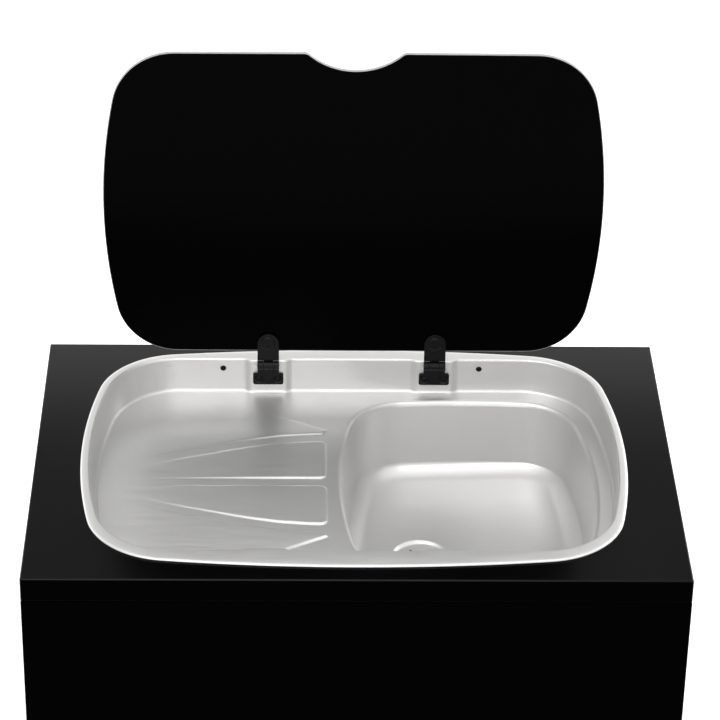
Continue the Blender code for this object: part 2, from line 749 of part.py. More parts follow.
def on_lid(made, pivot, x=0):
    made.parent = pivot
    made.location = (x, 0, 0)
    for step in made.modifiers:
        if step.type == "BOOLEAN":
            step.object.parent = pivot
            step.object.location = (x, 0, 0)
    return made


def lid_outline():
    """The lid closed: rear edge at the setback, front edge with the finger notch."""
    outline = barrel(LID_WIDTH, LID_DEPTH, LID_SIDE_RADIUS, LID_SIDE_RADIUS * FLAT_END_SHARE,
                     LID_CORNER_RADIUS)
    middle_y = -GLASS_SETBACK - LID_DEPTH / 2
    front = -LID_DEPTH / 2
    half = NOTCH_WIDTH / 2
    radius = (half ** 2 + NOTCH_DEPTH ** 2) / (2 * NOTCH_DEPTH)
    arc_y = front + NOTCH_DEPTH - radius
    blend_y = front + NOTCH_BLEND_RADIUS
    blend_x = math.sqrt((radius + NOTCH_BLEND_RADIUS) ** 2 - (blend_y - arc_y) ** 2)
    swing = math.atan2(blend_y - arc_y, blend_x)
    right = arc((blend_x, blend_y), NOTCH_BLEND_RADIUS, -math.pi / 2, swing - math.pi, 3)
    notch = [Vector((-p.x, p.y)) for p in right]
    notch += arc((0, arc_y), radius, math.pi - swing, swing, 10)[1:-1]
    notch += list(reversed(right))
    kept = [p for p in outline if not (p.y < front * NOTCH_KEEP_SHARE and abs(p.x) <= blend_x)]
    split = max(range(len(kept)), key=lambda i: kept[i].x - kept[i - 1].x
                if kept[i].y < front * NOTCH_KEEP_SHARE else 0)
    return [p + Vector((0, middle_y)) for p in kept[:split] + notch + kept[split:]]


NOTCH_KEEP_SHARE = 0.9


def build_lid(pivot):
    glass = solid("lid_glass", closed_out(plate_mesh([lid_outline()], LID_THICKNESS)), black_glass)
    glass.data.transform(Matrix.Translation((0, 0, GLASS_UNDER)))
    on_lid(glass, pivot)
    rod = rod_mesh(LID_SCREW_RADIUS + HOLE_PLAY, 4 * LID_THICKNESS, BARREL_SIDES)
    cut(glass, group_mesh([(rod, Matrix.Translation((x, -LEAF_TIP, GLASS_UNDER)))
                           for side, x in HINGES]))
    screw = pan_screw(LID_SCREW_RADIUS, CLAMP_UNDER + CLAMP_THICKNESS / 2 - LEAF_OFFSET + SEAT_GAP,
                      LID_SCREW_HEAD_RADIUS, LID_SCREW_HEAD)
    screw.transform(Matrix.Translation((0, -LEAF_TIP, LEAF_OFFSET - SEAT_GAP)))
    for side, x in HINGES:
        on_lid(solid("lid_screw_" + side, screw, hinge_black), pivot, x)


def leaf_outline(start, shrink=0):
    half = HINGE_WIDTH / 2 - shrink
    tip = arc((0, -LEAF_TIP), half, 0, -math.pi, 12)
    return [Vector((-half, -start)), Vector((half, -start))] + tip


def build_hinge(side, x, pivot):
    leaf_start = BARREL_RADIUS + 2 * KNUCKLE_PLAY
    leaf = solid("hinge_leaf_" + side, closed_out(plate_mesh([leaf_outline(leaf_start)],
                                                             LEAF_THICKNESS)), hinge_black)
    leaf.data.transform(Matrix.Translation((0, 0, LEAF_OFFSET)))
    on_lid(leaf, pivot, x)
    knuckle = rod_mesh(BARREL_RADIUS, MIDDLE_KNUCKLE, BARREL_SIDES)
    knuckle.transform(towards((1, 0, 0)))
    join(leaf, knuckle, (x, 0, 0))
    web_reach = leaf_start + LEAF_THICKNESS
    web = box_mesh((MIDDLE_KNUCKLE, web_reach, LEAF_THICKNESS))
    web.transform(Matrix.Translation((0, -web_reach / 2, LEAF_OFFSET + LEAF_THICKNESS / 2)))
    join(leaf, web, (x, 0, 0))
    bore = rod_mesh(PIN_RADIUS + HOLE_PLAY, 2 * HINGE_WIDTH, BARREL_SIDES)
    bore.transform(towards((1, 0, 0)))
    cut(leaf, bore, (x, 0, 0))
    hole = rod_mesh(LID_SCREW_RADIUS + HOLE_PLAY, 4 * LEAF_THICKNESS, BARREL_SIDES)
    cut(leaf, hole, (x, -LEAF_TIP, LEAF_OFFSET))

    gasket = plate_mesh([leaf_outline(GLASS_SETBACK + LEAF_THICKNESS, SHEET),
                         [p + Vector((0, -LEAF_TIP)) for p in
                          ring(LID_SCREW_RADIUS + HOLE_PLAY, SCREW_SIDES)]], GASKET_THICKNESS)
    gasket.transform(Matrix.Translation((0, 0, GASKET_UNDER)))
    on_lid(solid("hinge_gasket_" + side, closed_out(gasket), rubber), pivot, x)

    clamp = solid("hinge_clamp_" + side, turned_mesh(
        [(0, CLAMP_THICKNESS), (CLAMP_RADIUS - CLAMP_THICKNESS / 2, CLAMP_THICKNESS),
         (CLAMP_RADIUS, CLAMP_THICKNESS / 2), (CLAMP_RADIUS, 0), (0, 0)], WASTE_SIDES), hinge_black)
    clamp.data.transform(Matrix.Translation((0, -LEAF_TIP, CLAMP_UNDER)))
    on_lid(clamp, pivot, x)
    cut(clamp, hole, (x, -LEAF_TIP, CLAMP_UNDER - 2 * LEAF_THICKNESS + CLAMP_THICKNESS / 2
                      + SEAT_GAP))

    build_hinge_base(side, x)
    pin = rod_mesh(PIN_RADIUS, HINGE_WIDTH + 2 * PIN_HEAD, BARREL_SIDES // 2 * 2)
    pin.transform(towards((1, 0, 0)))
    solid("hinge_pin_" + side, pin, pin_steel, (x, AXIS_Y, AXIS_Z))


def build_hinge_base(side, x):
    top = WORKTOP_HEIGHT - HINGE_BASE_DROP
    bottom = top - HINGE_BASE_HEIGHT
    back = PAD_Y - SEAT_GAP
    base = box("hinge_base_" + side, (x - HINGE_BASE_WIDTH / 2, x + HINGE_BASE_WIDTH / 2),
               (back - HINGE_BASE_THICKNESS, back), (bottom, top), hinge_black)
    corners = base.modifiers.new("corners", "BEVEL")
    corners.width = HINGE_BASE_THICKNESS
    corners.segments = 3
    corners.limit_method = "WEIGHT"
    weight_depth_edges(base.data)
    shoulder = (HINGE_WIDTH - MIDDLE_KNUCKLE) / 2 - KNUCKLE_PLAY
    neck_foot = top - HINGE_BASE_THICKNESS
    for way in (-1, 1):
        middle = x + way * (HINGE_WIDTH - shoulder) / 2
        lug = rod_mesh(BARREL_RADIUS, shoulder, BARREL_SIDES)
        lug.transform(towards((1, 0, 0)))
        join(base, lug, (middle, AXIS_Y, AXIS_Z))
        neck = box_mesh((shoulder, back - AXIS_Y, AXIS_Z - neck_foot))
        join(base, neck, (middle, (AXIS_Y + back) / 2, (AXIS_Z + neck_foot) / 2))
    neck_top = AXIS_Z - BARREL_RADIUS - 2 * KNUCKLE_PLAY
    throat = box_mesh((HINGE_WIDTH - shoulder, back - AXIS_Y - SHEET / 2, neck_top - neck_foot))
    join(base, throat, (x, (AXIS_Y + SHEET / 2 + back) / 2, (neck_top + neck_foot) / 2))
    bore = rod_mesh(PIN_RADIUS + HOLE_PLAY, 2 * HINGE_WIDTH, BARREL_SIDES)
    bore.transform(towards((1, 0, 0)))
    cut(base, bore, (x, AXIS_Y, AXIS_Z))
    rod = rod_mesh(BASE_SCREW_RADIUS + HOLE_PLAY, 6 * HINGE_BASE_THICKNESS, SCREW_SIDES)
    cut(base, group_mesh([(rod, towards((0, 1, 0), at)) for name, at in
                          base_screw_places().items() if name.startswith(side)]))

    plate = box("backing_plate_" + side, (x - HINGE_BASE_WIDTH / 2, x + HINGE_BASE_WIDTH / 2),
                (BACKING_Y, BACKING_Y + BACKING_THICKNESS), (bottom, top), zinc_steel)
    rod = rod_mesh(BASE_SCREW_RADIUS + HOLE_PLAY, 20 * BACKING_THICKNESS, SCREW_SIDES)
    cut(plate, group_mesh([(rod, towards((0, 1, 0), at)) for name, at in
                           base_screw_places().items() if name.startswith(side)]))


def weight_depth_edges(mesh):
    """Marks a box's four edges that run along Y for its Bevel."""
    weights = mesh.attributes.new("bevel_weight_edge", "FLOAT", "EDGE")
    for edge in mesh.edges:
        run = mesh.vertices[edge.vertices[1]].co - mesh.vertices[edge.vertices[0]].co
        weights.data[edge.index].value = 1 if abs(run.y) > abs(run.x) + abs(run.z) else 0


def build_base_screws():
    front = PAD_Y - SEAT_GAP - HINGE_BASE_THICKNESS - SEAT_GAP
    length = BACKING_Y + BACKING_THICKNESS - front
    screw = pan_screw(BASE_SCREW_RADIUS, length)
    for name, at in base_screw_places().items():
        fastener("hinge_screw_" + name, screw, towards((0, 1, 0), (at.x, front, at.z)),
                 hinge_black)


# Cabinet

EDGE_ROUND = 0.0012


def build_worktop():
    made = box("worktop", (-WORKTOP_WIDTH / 2, WORKTOP_WIDTH / 2), (FRONT_Y, REAR_Y),
               (WORKTOP_UNDER, WORKTOP_HEIGHT), black_board)
    soften(made, EDGE_ROUND)
    depth = WORKTOP_THICKNESS + 2 * CUT_OVERRUN
    cut(made, closed_out(plate_mesh([well_outline(-CUTOUT_GAP)], depth)),
        (0, 0, WORKTOP_UNDER - CUT_OVERRUN))
    rod = rod_mesh(FIXING_RADIUS + HOLE_PLAY, 2 * FIXING_LENGTH + 2 * HOLE_PLAY, SCREW_SIDES)
    holes = [(rod, towards(out, at)) for at, out in fixing_places(0).values()]
    cut(made, group_mesh(holes + dowel_holes()))


def build_carcass():
    above = WORKTOP_UNDER - SEAT_GAP
    front = box("front_panel", (-WORKTOP_WIDTH / 2, WORKTOP_WIDTH / 2),
                (FRONT_Y, FRONT_INNER_Y), (FRONT_CLEARANCE, above), front_board)
    soften(front, EDGE_ROUND / 2, 1)
    sides = {}
    for name, way in (("left", -1), ("right", 1)):
        sides[way] = box("side_panel_" + name, (way * INNER_X, way * SIDE_X),
                         (FRONT_INNER_Y + SEAT_GAP, REAR_INNER_Y - SEAT_GAP),
                         (CARCASS_CLEARANCE, above), carcass_board)
    floor = box("floor_panel", (-INNER_X + SEAT_GAP, INNER_X - SEAT_GAP),
                (FRONT_INNER_Y + SEAT_GAP, REAR_INNER_Y - SEAT_GAP),
                (CARCASS_CLEARANCE, CARCASS_CLEARANCE + FLOOR_THICKNESS), carcass_board)
    rear = box("rear_panel", (-SIDE_X, SIDE_X), (REAR_INNER_Y, REAR_Y),
               (CARCASS_CLEARANCE, above), carcass_board)
    hose = rod_mesh(HOSE_HOLE_RADIUS, 3 * REAR_THICKNESS, WASTE_SIDES)
    cut(rear, hose_turned(hose), (HOSE_HOLE_X, REAR_Y, HOSE_HOLE_Z))
    grommet(rear)

    runner_rod = rod_mesh(RUNNER_SCREW_RADIUS + HOLE_PLAY, 2 * RUNNER_SCREW_LENGTH, SCREW_SIDES)
    for way in (-1, 1):
        holes = [hole for hole in dowel_holes() if hole[1].translation.x * way > 0]
        holes += [(runner_rod, towards((-way, 0, 0), (way * SIDE_X, y, RUNNER_CENTRE)))
                  for y in RUNNER_SCREW_YS.values()]
        cut(sides[way], group_mesh(holes))


def hose_turned(mesh):
    mesh.transform(towards((0, 1, 0)))
    return mesh


GROMMET_LIP = 0.003
GROMMET_WALL = 0.002
HOSE_HOLE_Z = (CARCASS_CLEARANCE + FLOOR_THICKNESS + HOSE_HOLE_RADIUS + GROMMET_LIP +
               GROMMET_WALL)


def grommet(rear):
    """A rubber ring that lines the hose hole, with a lip on each face."""
    half = REAR_THICKNESS / 2 + SEAT_GAP
    outer, neck = HOSE_HOLE_RADIUS + GROMMET_LIP, HOSE_HOLE_RADIUS - SEAT_GAP
    bore = neck - GROMMET_WALL
    lip = half + GROMMET_WALL / 2
    mesh = turned_mesh([(bore, lip), (outer, lip), (outer, half), (neck, half), (neck, -half),
                        (outer, -half), (outer, -lip), (bore, -lip)], WASTE_SIDES, closed=True)
    made = solid("hose_grommet", hose_turned(mesh), rubber)
    made.location = (HOSE_HOLE_X, REAR_Y - REAR_THICKNESS / 2, HOSE_HOLE_Z)


def dowel_places():
    """The middle of each dowel between the worktop and a side panel, by name."""
    x = SIDE_X - SIDE_THICKNESS / 2
    return {end + "_" + side: Vector((way * x, y, WORKTOP_UNDER))
            for side, way in (("left", -1), ("right", 1))
            for end, y in (("rear", DOWEL_Y), ("front", -DOWEL_Y))}


def dowel_holes():
    rod = rod_mesh(DOWEL_RADIUS + HOLE_PLAY, DOWEL_LENGTH + 2 * HOLE_PLAY, WASTE_SIDES // 2)
    return [(rod, Matrix.Translation(at)) for at in dowel_places().values()]


def build_dowels():
    dowel = rod_mesh(DOWEL_RADIUS, DOWEL_LENGTH, WASTE_SIDES // 2)
    for name, at in dowel_places().items():
        fastener("worktop_dowel_" + name, dowel, Matrix.Translation(at), beech)


# Tray and runners

RUNNER_SCREW_RADIUS = 0.0020
RUNNER_SCREW_LENGTH = 0.012
RUNNER_SCREW_HEAD = 0.0016
RUNNER_SCREW_SHARE = 0.40        # of the runner's length, from its middle
RUNNER_SCREW_YS = {"front": -RUNNER_LENGTH * RUNNER_SCREW_SHARE,
                   "rear": RUNNER_LENGTH * RUNNER_SCREW_SHARE}
FLOOR_BOLT_RADIUS = 0.0035
FLOOR_BOLT_X = 0.250
FLOOR_BOLT_Y = 0.160


def strip_mesh(line, length):
    """A sheet drawn as a line in X and Z, drawn out along Y and centred there."""
    bm = bmesh.new()
    ends = [[bm.verts.new((p.x, y, p.y)) for p in line] for y in (-length / 2, length / 2)]
    for i in range(1, len(line)):
        bm.faces.new((ends[0][i - 1], ends[0][i], ends[1][i], ends[1][i - 1]))
    mesh = bpy.data.meshes.new("strip")
    bm.to_mesh(mesh)
    bm.free()
    return mesh


def build_tray():
    outer = FLANGE_X + TRAY_SHEET
    line = rounded([(-outer, TRAY_FLANGE), (-outer, 0), (outer, 0), (outer, TRAY_FLANGE)],
                   [TRAY_BEND_RADIUS, TRAY_BEND_RADIUS], 3)
    tray = solid("base_tray", strip_mesh(line, TRAY_DEPTH), tray_paint)
    thicken(tray, -TRAY_SHEET)
    rod = rod_mesh(FLOOR_BOLT_RADIUS, 8 * TRAY_SHEET, 16)
    holes = [(rod, Matrix.Translation((x, y, 0))) for x in (-FLOOR_BOLT_X, FLOOR_BOLT_X)
             for y in (-FLOOR_BOLT_Y, FLOOR_BOLT_Y)]
    rod = rod_mesh(RUNNER_SCREW_RADIUS + HOLE_PLAY, 6 * TRAY_SHEET, SCREW_SIDES)
    holes += [(rod, towards((way, 0, 0), (way * FLANGE_X, y, RUNNER_CENTRE)))
              for way in (-1, 1) for y in RUNNER_SCREW_YS.values()]
    cut(tray, group_mesh(holes))


def channel(name, web, mouth, height, length, way):
    """A C-shaped member: web and mouth are its distances from the cabinet's side."""
    half = height / 2
    bend = 2 * RUNNER_SHEET
    line = rounded([(mouth, half), (web, half), (web, -half), (mouth, -half)], [bend, bend], 3)
    if (web > mouth) != (way > 0):
        line = [Vector((p.x, p.y)) for p in reversed(line)]
    line = [Vector((way * (SIDE_X + p.x), RUNNER_CENTRE + p.y)) for p in line]
    made = solid(name, strip_mesh(line, length), zinc_steel)
    thicken(made, RUNNER_SHEET)
    return made


def build_runners():
    gauge = RUNNER_GAUGE
    heights = [RUNNER_HEIGHT - RUNNER_STEP * i for i in range(3)]
    for side, way in (("left", -1), ("right", 1)):
        outer = channel("runner_outer_" + side, gauge, RUNNER_GAUGE / 4, heights[0],
                        RUNNER_LENGTH, way)
        middle_web = gauge - RUNNER_SHEET - RUNNER_PLAY
        channel("runner_middle_" + side, middle_web, RUNNER_PLAY + RUNNER_SHEET, heights[1],
                RUNNER_LENGTH, way)
        inner_mouth = middle_web - RUNNER_SHEET - RUNNER_PLAY
        inner = channel("runner_inner_" + side, SEAT_GAP, inner_mouth, heights[2], RUNNER_LENGTH,
                        way)
        rod = rod_mesh(RUNNER_SCREW_RADIUS + HOLE_PLAY, 8 * RUNNER_SHEET, SCREW_SIDES)
        cut(outer, group_mesh([(rod, towards((1, 0, 0), (way * (SIDE_X + gauge), y, RUNNER_CENTRE)))
                               for y in RUNNER_SCREW_YS.values()]))
        cut(inner, group_mesh([(rod, towards((1, 0, 0), (way * SIDE_X, y, RUNNER_CENTRE)))
                               for y in RUNNER_SCREW_YS.values()]))
    screw = pan_screw(RUNNER_SCREW_RADIUS, RUNNER_SCREW_LENGTH, head_height=RUNNER_SCREW_HEAD)
    bolt = pan_screw(RUNNER_SCREW_RADIUS, TRAY_SHEET + RUNNER_SHEET + SEAT_GAP)
    screw_x = SIDE_X + SEAT_GAP + RUNNER_SHEET + SEAT_GAP
    bolt_x = FLANGE_X + TRAY_SHEET + SEAT_GAP
    for side, way in (("left", -1), ("right", 1)):
        for end, y in RUNNER_SCREW_YS.items():
            inwards = towards((-way, 0, 0))
            fastener(f"runner_screw_{end}_{side}", screw,
                     Matrix.Translation((way * screw_x, y, RUNNER_CENTRE)) @ inwards, zinc_steel)
            fastener(f"runner_bolt_{end}_{side}", bolt,
                     Matrix.Translation((way * bolt_x, y, RUNNER_CENTRE)) @ inwards, zinc_steel)


def main():
    build_worktop()
    build_carcass()
    build_dowels()
    build_sink()
    build_sink_screws()
    build_rim_seal()
    build_waste()
    pivot = lid_pivot()
    build_lid(pivot)
    for side, x in HINGES:
        build_hinge(side, x, pivot)
    build_base_screws()
    build_tray()
    build_runners()


main()
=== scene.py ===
import json
import math

import bmesh
import bpy
from mathutils import Matrix, Vector, geometry


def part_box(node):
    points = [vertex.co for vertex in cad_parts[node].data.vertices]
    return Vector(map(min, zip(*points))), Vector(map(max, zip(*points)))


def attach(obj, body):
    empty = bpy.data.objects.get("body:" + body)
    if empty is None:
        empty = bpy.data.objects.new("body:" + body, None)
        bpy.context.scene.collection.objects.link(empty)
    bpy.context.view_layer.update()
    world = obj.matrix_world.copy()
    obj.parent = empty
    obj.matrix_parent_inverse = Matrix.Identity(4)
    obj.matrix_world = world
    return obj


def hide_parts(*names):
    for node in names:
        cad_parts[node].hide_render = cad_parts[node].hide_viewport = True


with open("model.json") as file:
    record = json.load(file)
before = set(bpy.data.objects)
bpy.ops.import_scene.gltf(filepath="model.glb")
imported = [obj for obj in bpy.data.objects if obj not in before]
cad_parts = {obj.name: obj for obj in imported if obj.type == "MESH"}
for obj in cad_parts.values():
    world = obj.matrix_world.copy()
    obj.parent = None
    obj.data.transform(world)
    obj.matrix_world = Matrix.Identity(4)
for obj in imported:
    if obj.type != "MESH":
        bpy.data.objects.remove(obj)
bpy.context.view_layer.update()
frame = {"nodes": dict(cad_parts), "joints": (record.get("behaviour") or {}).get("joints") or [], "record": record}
nodes = frame["nodes"]
print("frame loaded:", len(nodes), "nodes")

weld = 1e-6  # points closer than this are one
through = 0.02  # longer than the holes that are cut
nest = 0.0001  # how far a united shape stays inside its neighbour
squareOn = 0.98  # a normal this far along an axis lies on it
nearEdge = 0.9  # a point this far out from the middle is at the edge


# Small helpers

def nothingSelected():
    if bpy.context.object and bpy.context.object.mode != "OBJECT":
        bpy.ops.object.mode_set(mode="OBJECT")
    bpy.ops.object.select_all(action="DESELECT")


def madeActive(piece):
    nothingSelected()
    piece.select_set(True)
    bpy.context.view_layer.objects.active = piece
    return piece


def named(name):
    piece = bpy.context.object
    piece.name = piece.data.name = name
    return piece


def linked(made):
    bpy.context.scene.collection.objects.link(made)
    return made


def settled(piece, smoothAngle=35, weighted=True):  # place, turn and size go into the mesh
    madeActive(piece)
    bpy.ops.object.transform_apply(location=True, rotation=True, scale=True)
    bpy.ops.object.shade_smooth_by_angle(angle=math.radians(smoothAngle))
    if weighted:  # flat faces stay flat beside their rounded edges
        weight = piece.modifiers.new("weight", "WEIGHTED_NORMAL")
        weight.keep_sharp = True
        bpy.ops.object.modifier_apply(modifier=weight.name)
    return piece


def rounded(piece, width, segments, angle=40):
    madeActive(piece)
    bevel = piece.modifiers.new("edges", "BEVEL")
    bevel.width = width
    bevel.segments = segments
    bevel.limit_method = "ANGLE"
    bevel.angle_limit = math.radians(angle)
    bpy.ops.object.modifier_apply(modifier=bevel.name)
    return piece


def shapedWith(piece, tool, operation):  # one boolean, after which the tool is gone
    madeActive(piece)
    step = piece.modifiers.new("shape", "BOOLEAN")
    step.operation, step.object, step.solver = operation, tool, "EXACT"
    bpy.ops.object.modifier_apply(modifier=step.name)
    bpy.data.objects.remove(tool)


def united(piece, *parts):
    for part in parts:
        shapedWith(piece, part, "UNION")
    return piece


def cutOut(piece, *tools):
    for tool in tools:
        shapedWith(piece, tool, "DIFFERENCE")


def rod(name, centre, radius, length, along="Z", sides=32):
    turns = {"X": (0, math.pi / 2, 0), "Y": (math.pi / 2, 0, 0), "Z": (0, 0, 0)}
    nothingSelected()
    bpy.ops.mesh.primitive_cylinder_add(vertices=sides, radius=radius, depth=length,
                                        location=centre, rotation=turns[along])
    piece = named(name)
    bpy.ops.object.transform_apply(location=True, rotation=True, scale=True)
    return piece


def block(name, centre, size):
    nothingSelected()
    bpy.ops.mesh.primitive_cube_add(size=1, location=centre, scale=size)
    bpy.ops.object.transform_apply(location=True, rotation=True, scale=True)
    return named(name)


def boxPiece(name, low, high):
    low, high = Vector(low), Vector(high)
    return block(name, (low + high) / 2, high - low)


def turnedPiece(name, profile, steps):  # a line of (radius, height) spun about Z
    piece = fromPoints(name, [(r, 0, z) for r, z in profile],
                       [(i, i + 1) for i in range(len(profile) - 1)])
    bpy.ops.object.mode_set(mode="EDIT")
    bpy.ops.mesh.select_all(action="SELECT")
    bpy.ops.mesh.spin(steps=steps, angle=2 * math.pi, center=(0, 0, 0), axis=(0, 0, 1))
    bpy.ops.mesh.select_all(action="SELECT")
    bpy.ops.mesh.remove_doubles(threshold=weld)
    bpy.ops.mesh.normals_make_consistent(inside=False)
    bpy.ops.object.mode_set(mode="OBJECT")
    return piece


def copied(piece, name, move):
    made = piece.copy()
    made.data = piece.data.copy()
    made.name = made.data.name = name
    made.data.transform(move)
    return linked(made)


def refined(name, width):  # a node's own shape with rounded edges
    piece = linked(bpy.data.objects.new(name + "Finished", nodes[name].data.copy()))
    piece.data.name = piece.name
    madeActive(piece)
    bpy.ops.object.mode_set(mode="EDIT")
    bpy.ops.mesh.select_all(action="SELECT")
    bpy.ops.mesh.remove_doubles(threshold=weld)
    bpy.ops.mesh.dissolve_limited(angle_limit=math.radians(1))
    bpy.ops.object.mode_set(mode="OBJECT")
    rounded(piece, width, 2, angle=30)
    return settled(piece, smoothAngle=30)


def fromPoints(name, points, edges):
    mesh = bpy.data.meshes.new(name)
    mesh.from_pydata([tuple(p) for p in points], edges, [])
    return madeActive(linked(bpy.data.objects.new(name, mesh)))


def platePiece(name, outline, low, high):  # a flat plate from an outline, extruded in edit mode
    count = len(outline)
    piece = fromPoints(name, [(p.x, p.y, low) for p in outline],
                       [(i, (i + 1) % count) for i in range(count)])
    bpy.ops.object.mode_set(mode="EDIT")
    bpy.ops.mesh.select_all(action="SELECT")
    bpy.ops.mesh.edge_face_add()
    bpy.ops.mesh.extrude_region_move(TRANSFORM_OT_translate={"value": (0, 0, high - low)})
    bpy.ops.mesh.select_all(action="SELECT")
    bpy.ops.mesh.normals_make_consistent(inside=False)
    bpy.ops.object.mode_set(mode="OBJECT")
    return piece


def coated(piece, *materials):
    piece.data.materials.clear()
    for material in materials:
        piece.data.materials.append(material)
    return piece


# Materials

noiseSpan = (0.3, 0.7)  # where most of a noise lies


def shaderOf(name, colour, roughness, metallic=0.0, specular=0.5):
    material = bpy.data.materials.new(name)
    material.use_nodes = True
    shader = material.node_tree.nodes["Principled BSDF"]
    shader.inputs["Base Color"].default_value = (*colour, 1)
    shader.inputs["Roughness"].default_value = roughness
    shader.inputs["Metallic"].default_value = metallic
    shader.inputs["Specular IOR Level"].default_value = specular
    return material, material.node_tree, shader


def grainOf(tree, scale, detail, stretch=(1, 1, 1)):  # a noise in object coordinates
    where = tree.nodes.new("ShaderNodeTexCoord")
    turn = tree.nodes.new("ShaderNodeMapping")
    turn.inputs["Scale"].default_value = stretch
    grain = tree.nodes.new("ShaderNodeTexNoise")
    grain.inputs["Scale"].default_value = scale
    grain.inputs["Detail"].default_value = detail
    tree.links.new(where.outputs["Object"], turn.inputs["Vector"])
    tree.links.new(turn.outputs["Vector"], grain.inputs["Vector"])
    return grain.outputs["Fac"]


def between(tree, value, low, high):
    spread = tree.nodes.new("ShaderNodeMapRange")
    spread.inputs["From Min"].default_value, spread.inputs["From Max"].default_value = noiseSpan
    spread.inputs["To Min"].default_value = low
    spread.inputs["To Max"].default_value = high
    tree.links.new(value, spread.inputs["Value"])
    return spread.outputs["Result"]


def tinted(tree, value, dark, light):
    mix = tree.nodes.new("ShaderNodeMix")
    mix.data_type = "RGBA"
    mix.inputs["A"].default_value = (*dark, 1)
    mix.inputs["B"].default_value = (*light, 1)
    tree.links.new(value, mix.inputs["Factor"])
    return mix.outputs["Result"]


def bumped(tree, shader, value, strength, distance):
    bump = tree.nodes.new("ShaderNodeBump")
    bump.inputs["Strength"].default_value = strength
    bump.inputs["Distance"].default_value = distance
    tree.links.new(value, bump.inputs["Height"])
    tree.links.new(bump.outputs["Normal"], shader.inputs["Normal"])


# In a finish "even" is the roughness without its texture, and a bump is its strength and
# distance.
steelFinish = {"colour": (0.705, 0.70, 0.691), "dark": (0.665, 0.66, 0.652), "even": 0.4,
               "roughness": (0.36, 0.45), "metallic": 0.78, "cloudScale": 5, "brushScale": 700,
               "stretch": (0.03, 1, 1), "bump": (0.06, 0.0004)}


def satinSteelMaterial(look):
    material, tree, shader = shaderOf("satinSteel", look["colour"], look["even"],
                                      metallic=look["metallic"])
    clouds = grainOf(tree, look["cloudScale"], detail=2)
    brush = grainOf(tree, look["brushScale"], detail=4, stretch=look["stretch"])
    tree.links.new(tinted(tree, clouds, look["dark"], look["colour"]), shader.inputs["Base Color"])
    tree.links.new(between(tree, brush, *look["roughness"]), shader.inputs["Roughness"])
    bumped(tree, shader, brush, *look["bump"])
    return material


glassFinish = {"colour": (0.0005, 0.0005, 0.0006), "even": 0.12, "roughness": (0.18, 0.22),
               "specular": 0.015, "smearScale": 9, "stretch": (1, 1, 2.5)}


def lidGlassMaterial(look):
    material, tree, shader = shaderOf("blackGlass", look["colour"], look["even"],
                                      specular=look["specular"])
    smears = grainOf(tree, look["smearScale"], detail=3, stretch=look["stretch"])
    tree.links.new(between(tree, smears, *look["roughness"]), shader.inputs["Roughness"])
    return material


edgeFinish = {"colour": (0.36, 0.38, 0.38), "dark": (0.30, 0.32, 0.32),
              "light": (0.42, 0.44, 0.44), "even": 0.55, "grindScale": 900,
              "bump": (0.25, 0.0002)}


def groundEdgeMaterial(look):
    material, tree, shader = shaderOf("groundEdge", look["colour"], look["even"])
    grind = grainOf(tree, look["grindScale"], detail=2)
    tree.links.new(tinted(tree, grind, look["dark"], look["light"]), shader.inputs["Base Color"])
    bumped(tree, shader, grind, *look["bump"])
    return material


worktopFinish = {"colour": (0.0005, 0.0005, 0.0007), "roughness": (0.16, 0.20), "specular": 0.15,
                 "grainScale": 1400, "bump": (0.03, 0.0003)}
frontFinish = {"colour": (0.0003, 0.0003, 0.0004), "roughness": (0.40, 0.46), "specular": 0.005,
               "grainScale": 1400, "bump": (0.04, 0.0003)}
carcassFinish = {"colour": (0.006, 0.006, 0.007), "roughness": (0.5, 0.6), "specular": 0.15,
                 "grainScale": 600, "bump": (0.15, 0.0003)}
boardTint = {"scale": 6, "lighter": 1.35}


def boardMaterial(name, look):
    material, tree, shader = shaderOf(name, look["colour"], sum(look["roughness"]) / 2,
                                      specular=look["specular"])
    pearl = grainOf(tree, look["grainScale"], detail=3)
    broad = grainOf(tree, boardTint["scale"], detail=2)
    lighter = tuple(c * boardTint["lighter"] for c in look["colour"])
    tree.links.new(tinted(tree, broad, look["colour"], lighter), shader.inputs["Base Color"])
    tree.links.new(between(tree, broad, *look["roughness"]), shader.inputs["Roughness"])
    bumped(tree, shader, pearl, *look["bump"])
    return material


hingeFinish = {"colour": (0.0013, 0.0013, 0.0014), "even": 0.26, "specular": 0.16,
               "peelScale": 500, "bump": (0.05, 0.0003)}
trayFinish = {"colour": (0.018, 0.018, 0.019), "even": 0.45, "specular": 0.45,
              "peelScale": 350, "bump": (0.25, 0.0003)}
paintWear = {"scale": 45, "smoother": 0.05, "rougher": 0.08}


def paintedMetalMaterial(name, look):
    material, tree, shader = shaderOf(name, look["colour"], look["even"],
                                      specular=look["specular"])
    peel = grainOf(tree, look["peelScale"], detail=1.5)
    wear = grainOf(tree, paintWear["scale"], detail=4)
    tree.links.new(between(tree, wear, look["even"] - paintWear["smoother"],
                           look["even"] + paintWear["rougher"]), shader.inputs["Roughness"])
    bumped(tree, shader, peel, *look["bump"])
    return material


zincFinish = {"colour": (0.50, 0.52, 0.54), "dark": (0.43, 0.44, 0.45),
              "light": (0.56, 0.57, 0.60), "even": 0.38, "roughness": (0.30, 0.46),
              "cloudScale": 28, "cloudStretch": (1, 0.25, 1), "rollScale": 700,
              "stretch": (1, 0.03, 1), "bump": (0.12, 0.0002)}


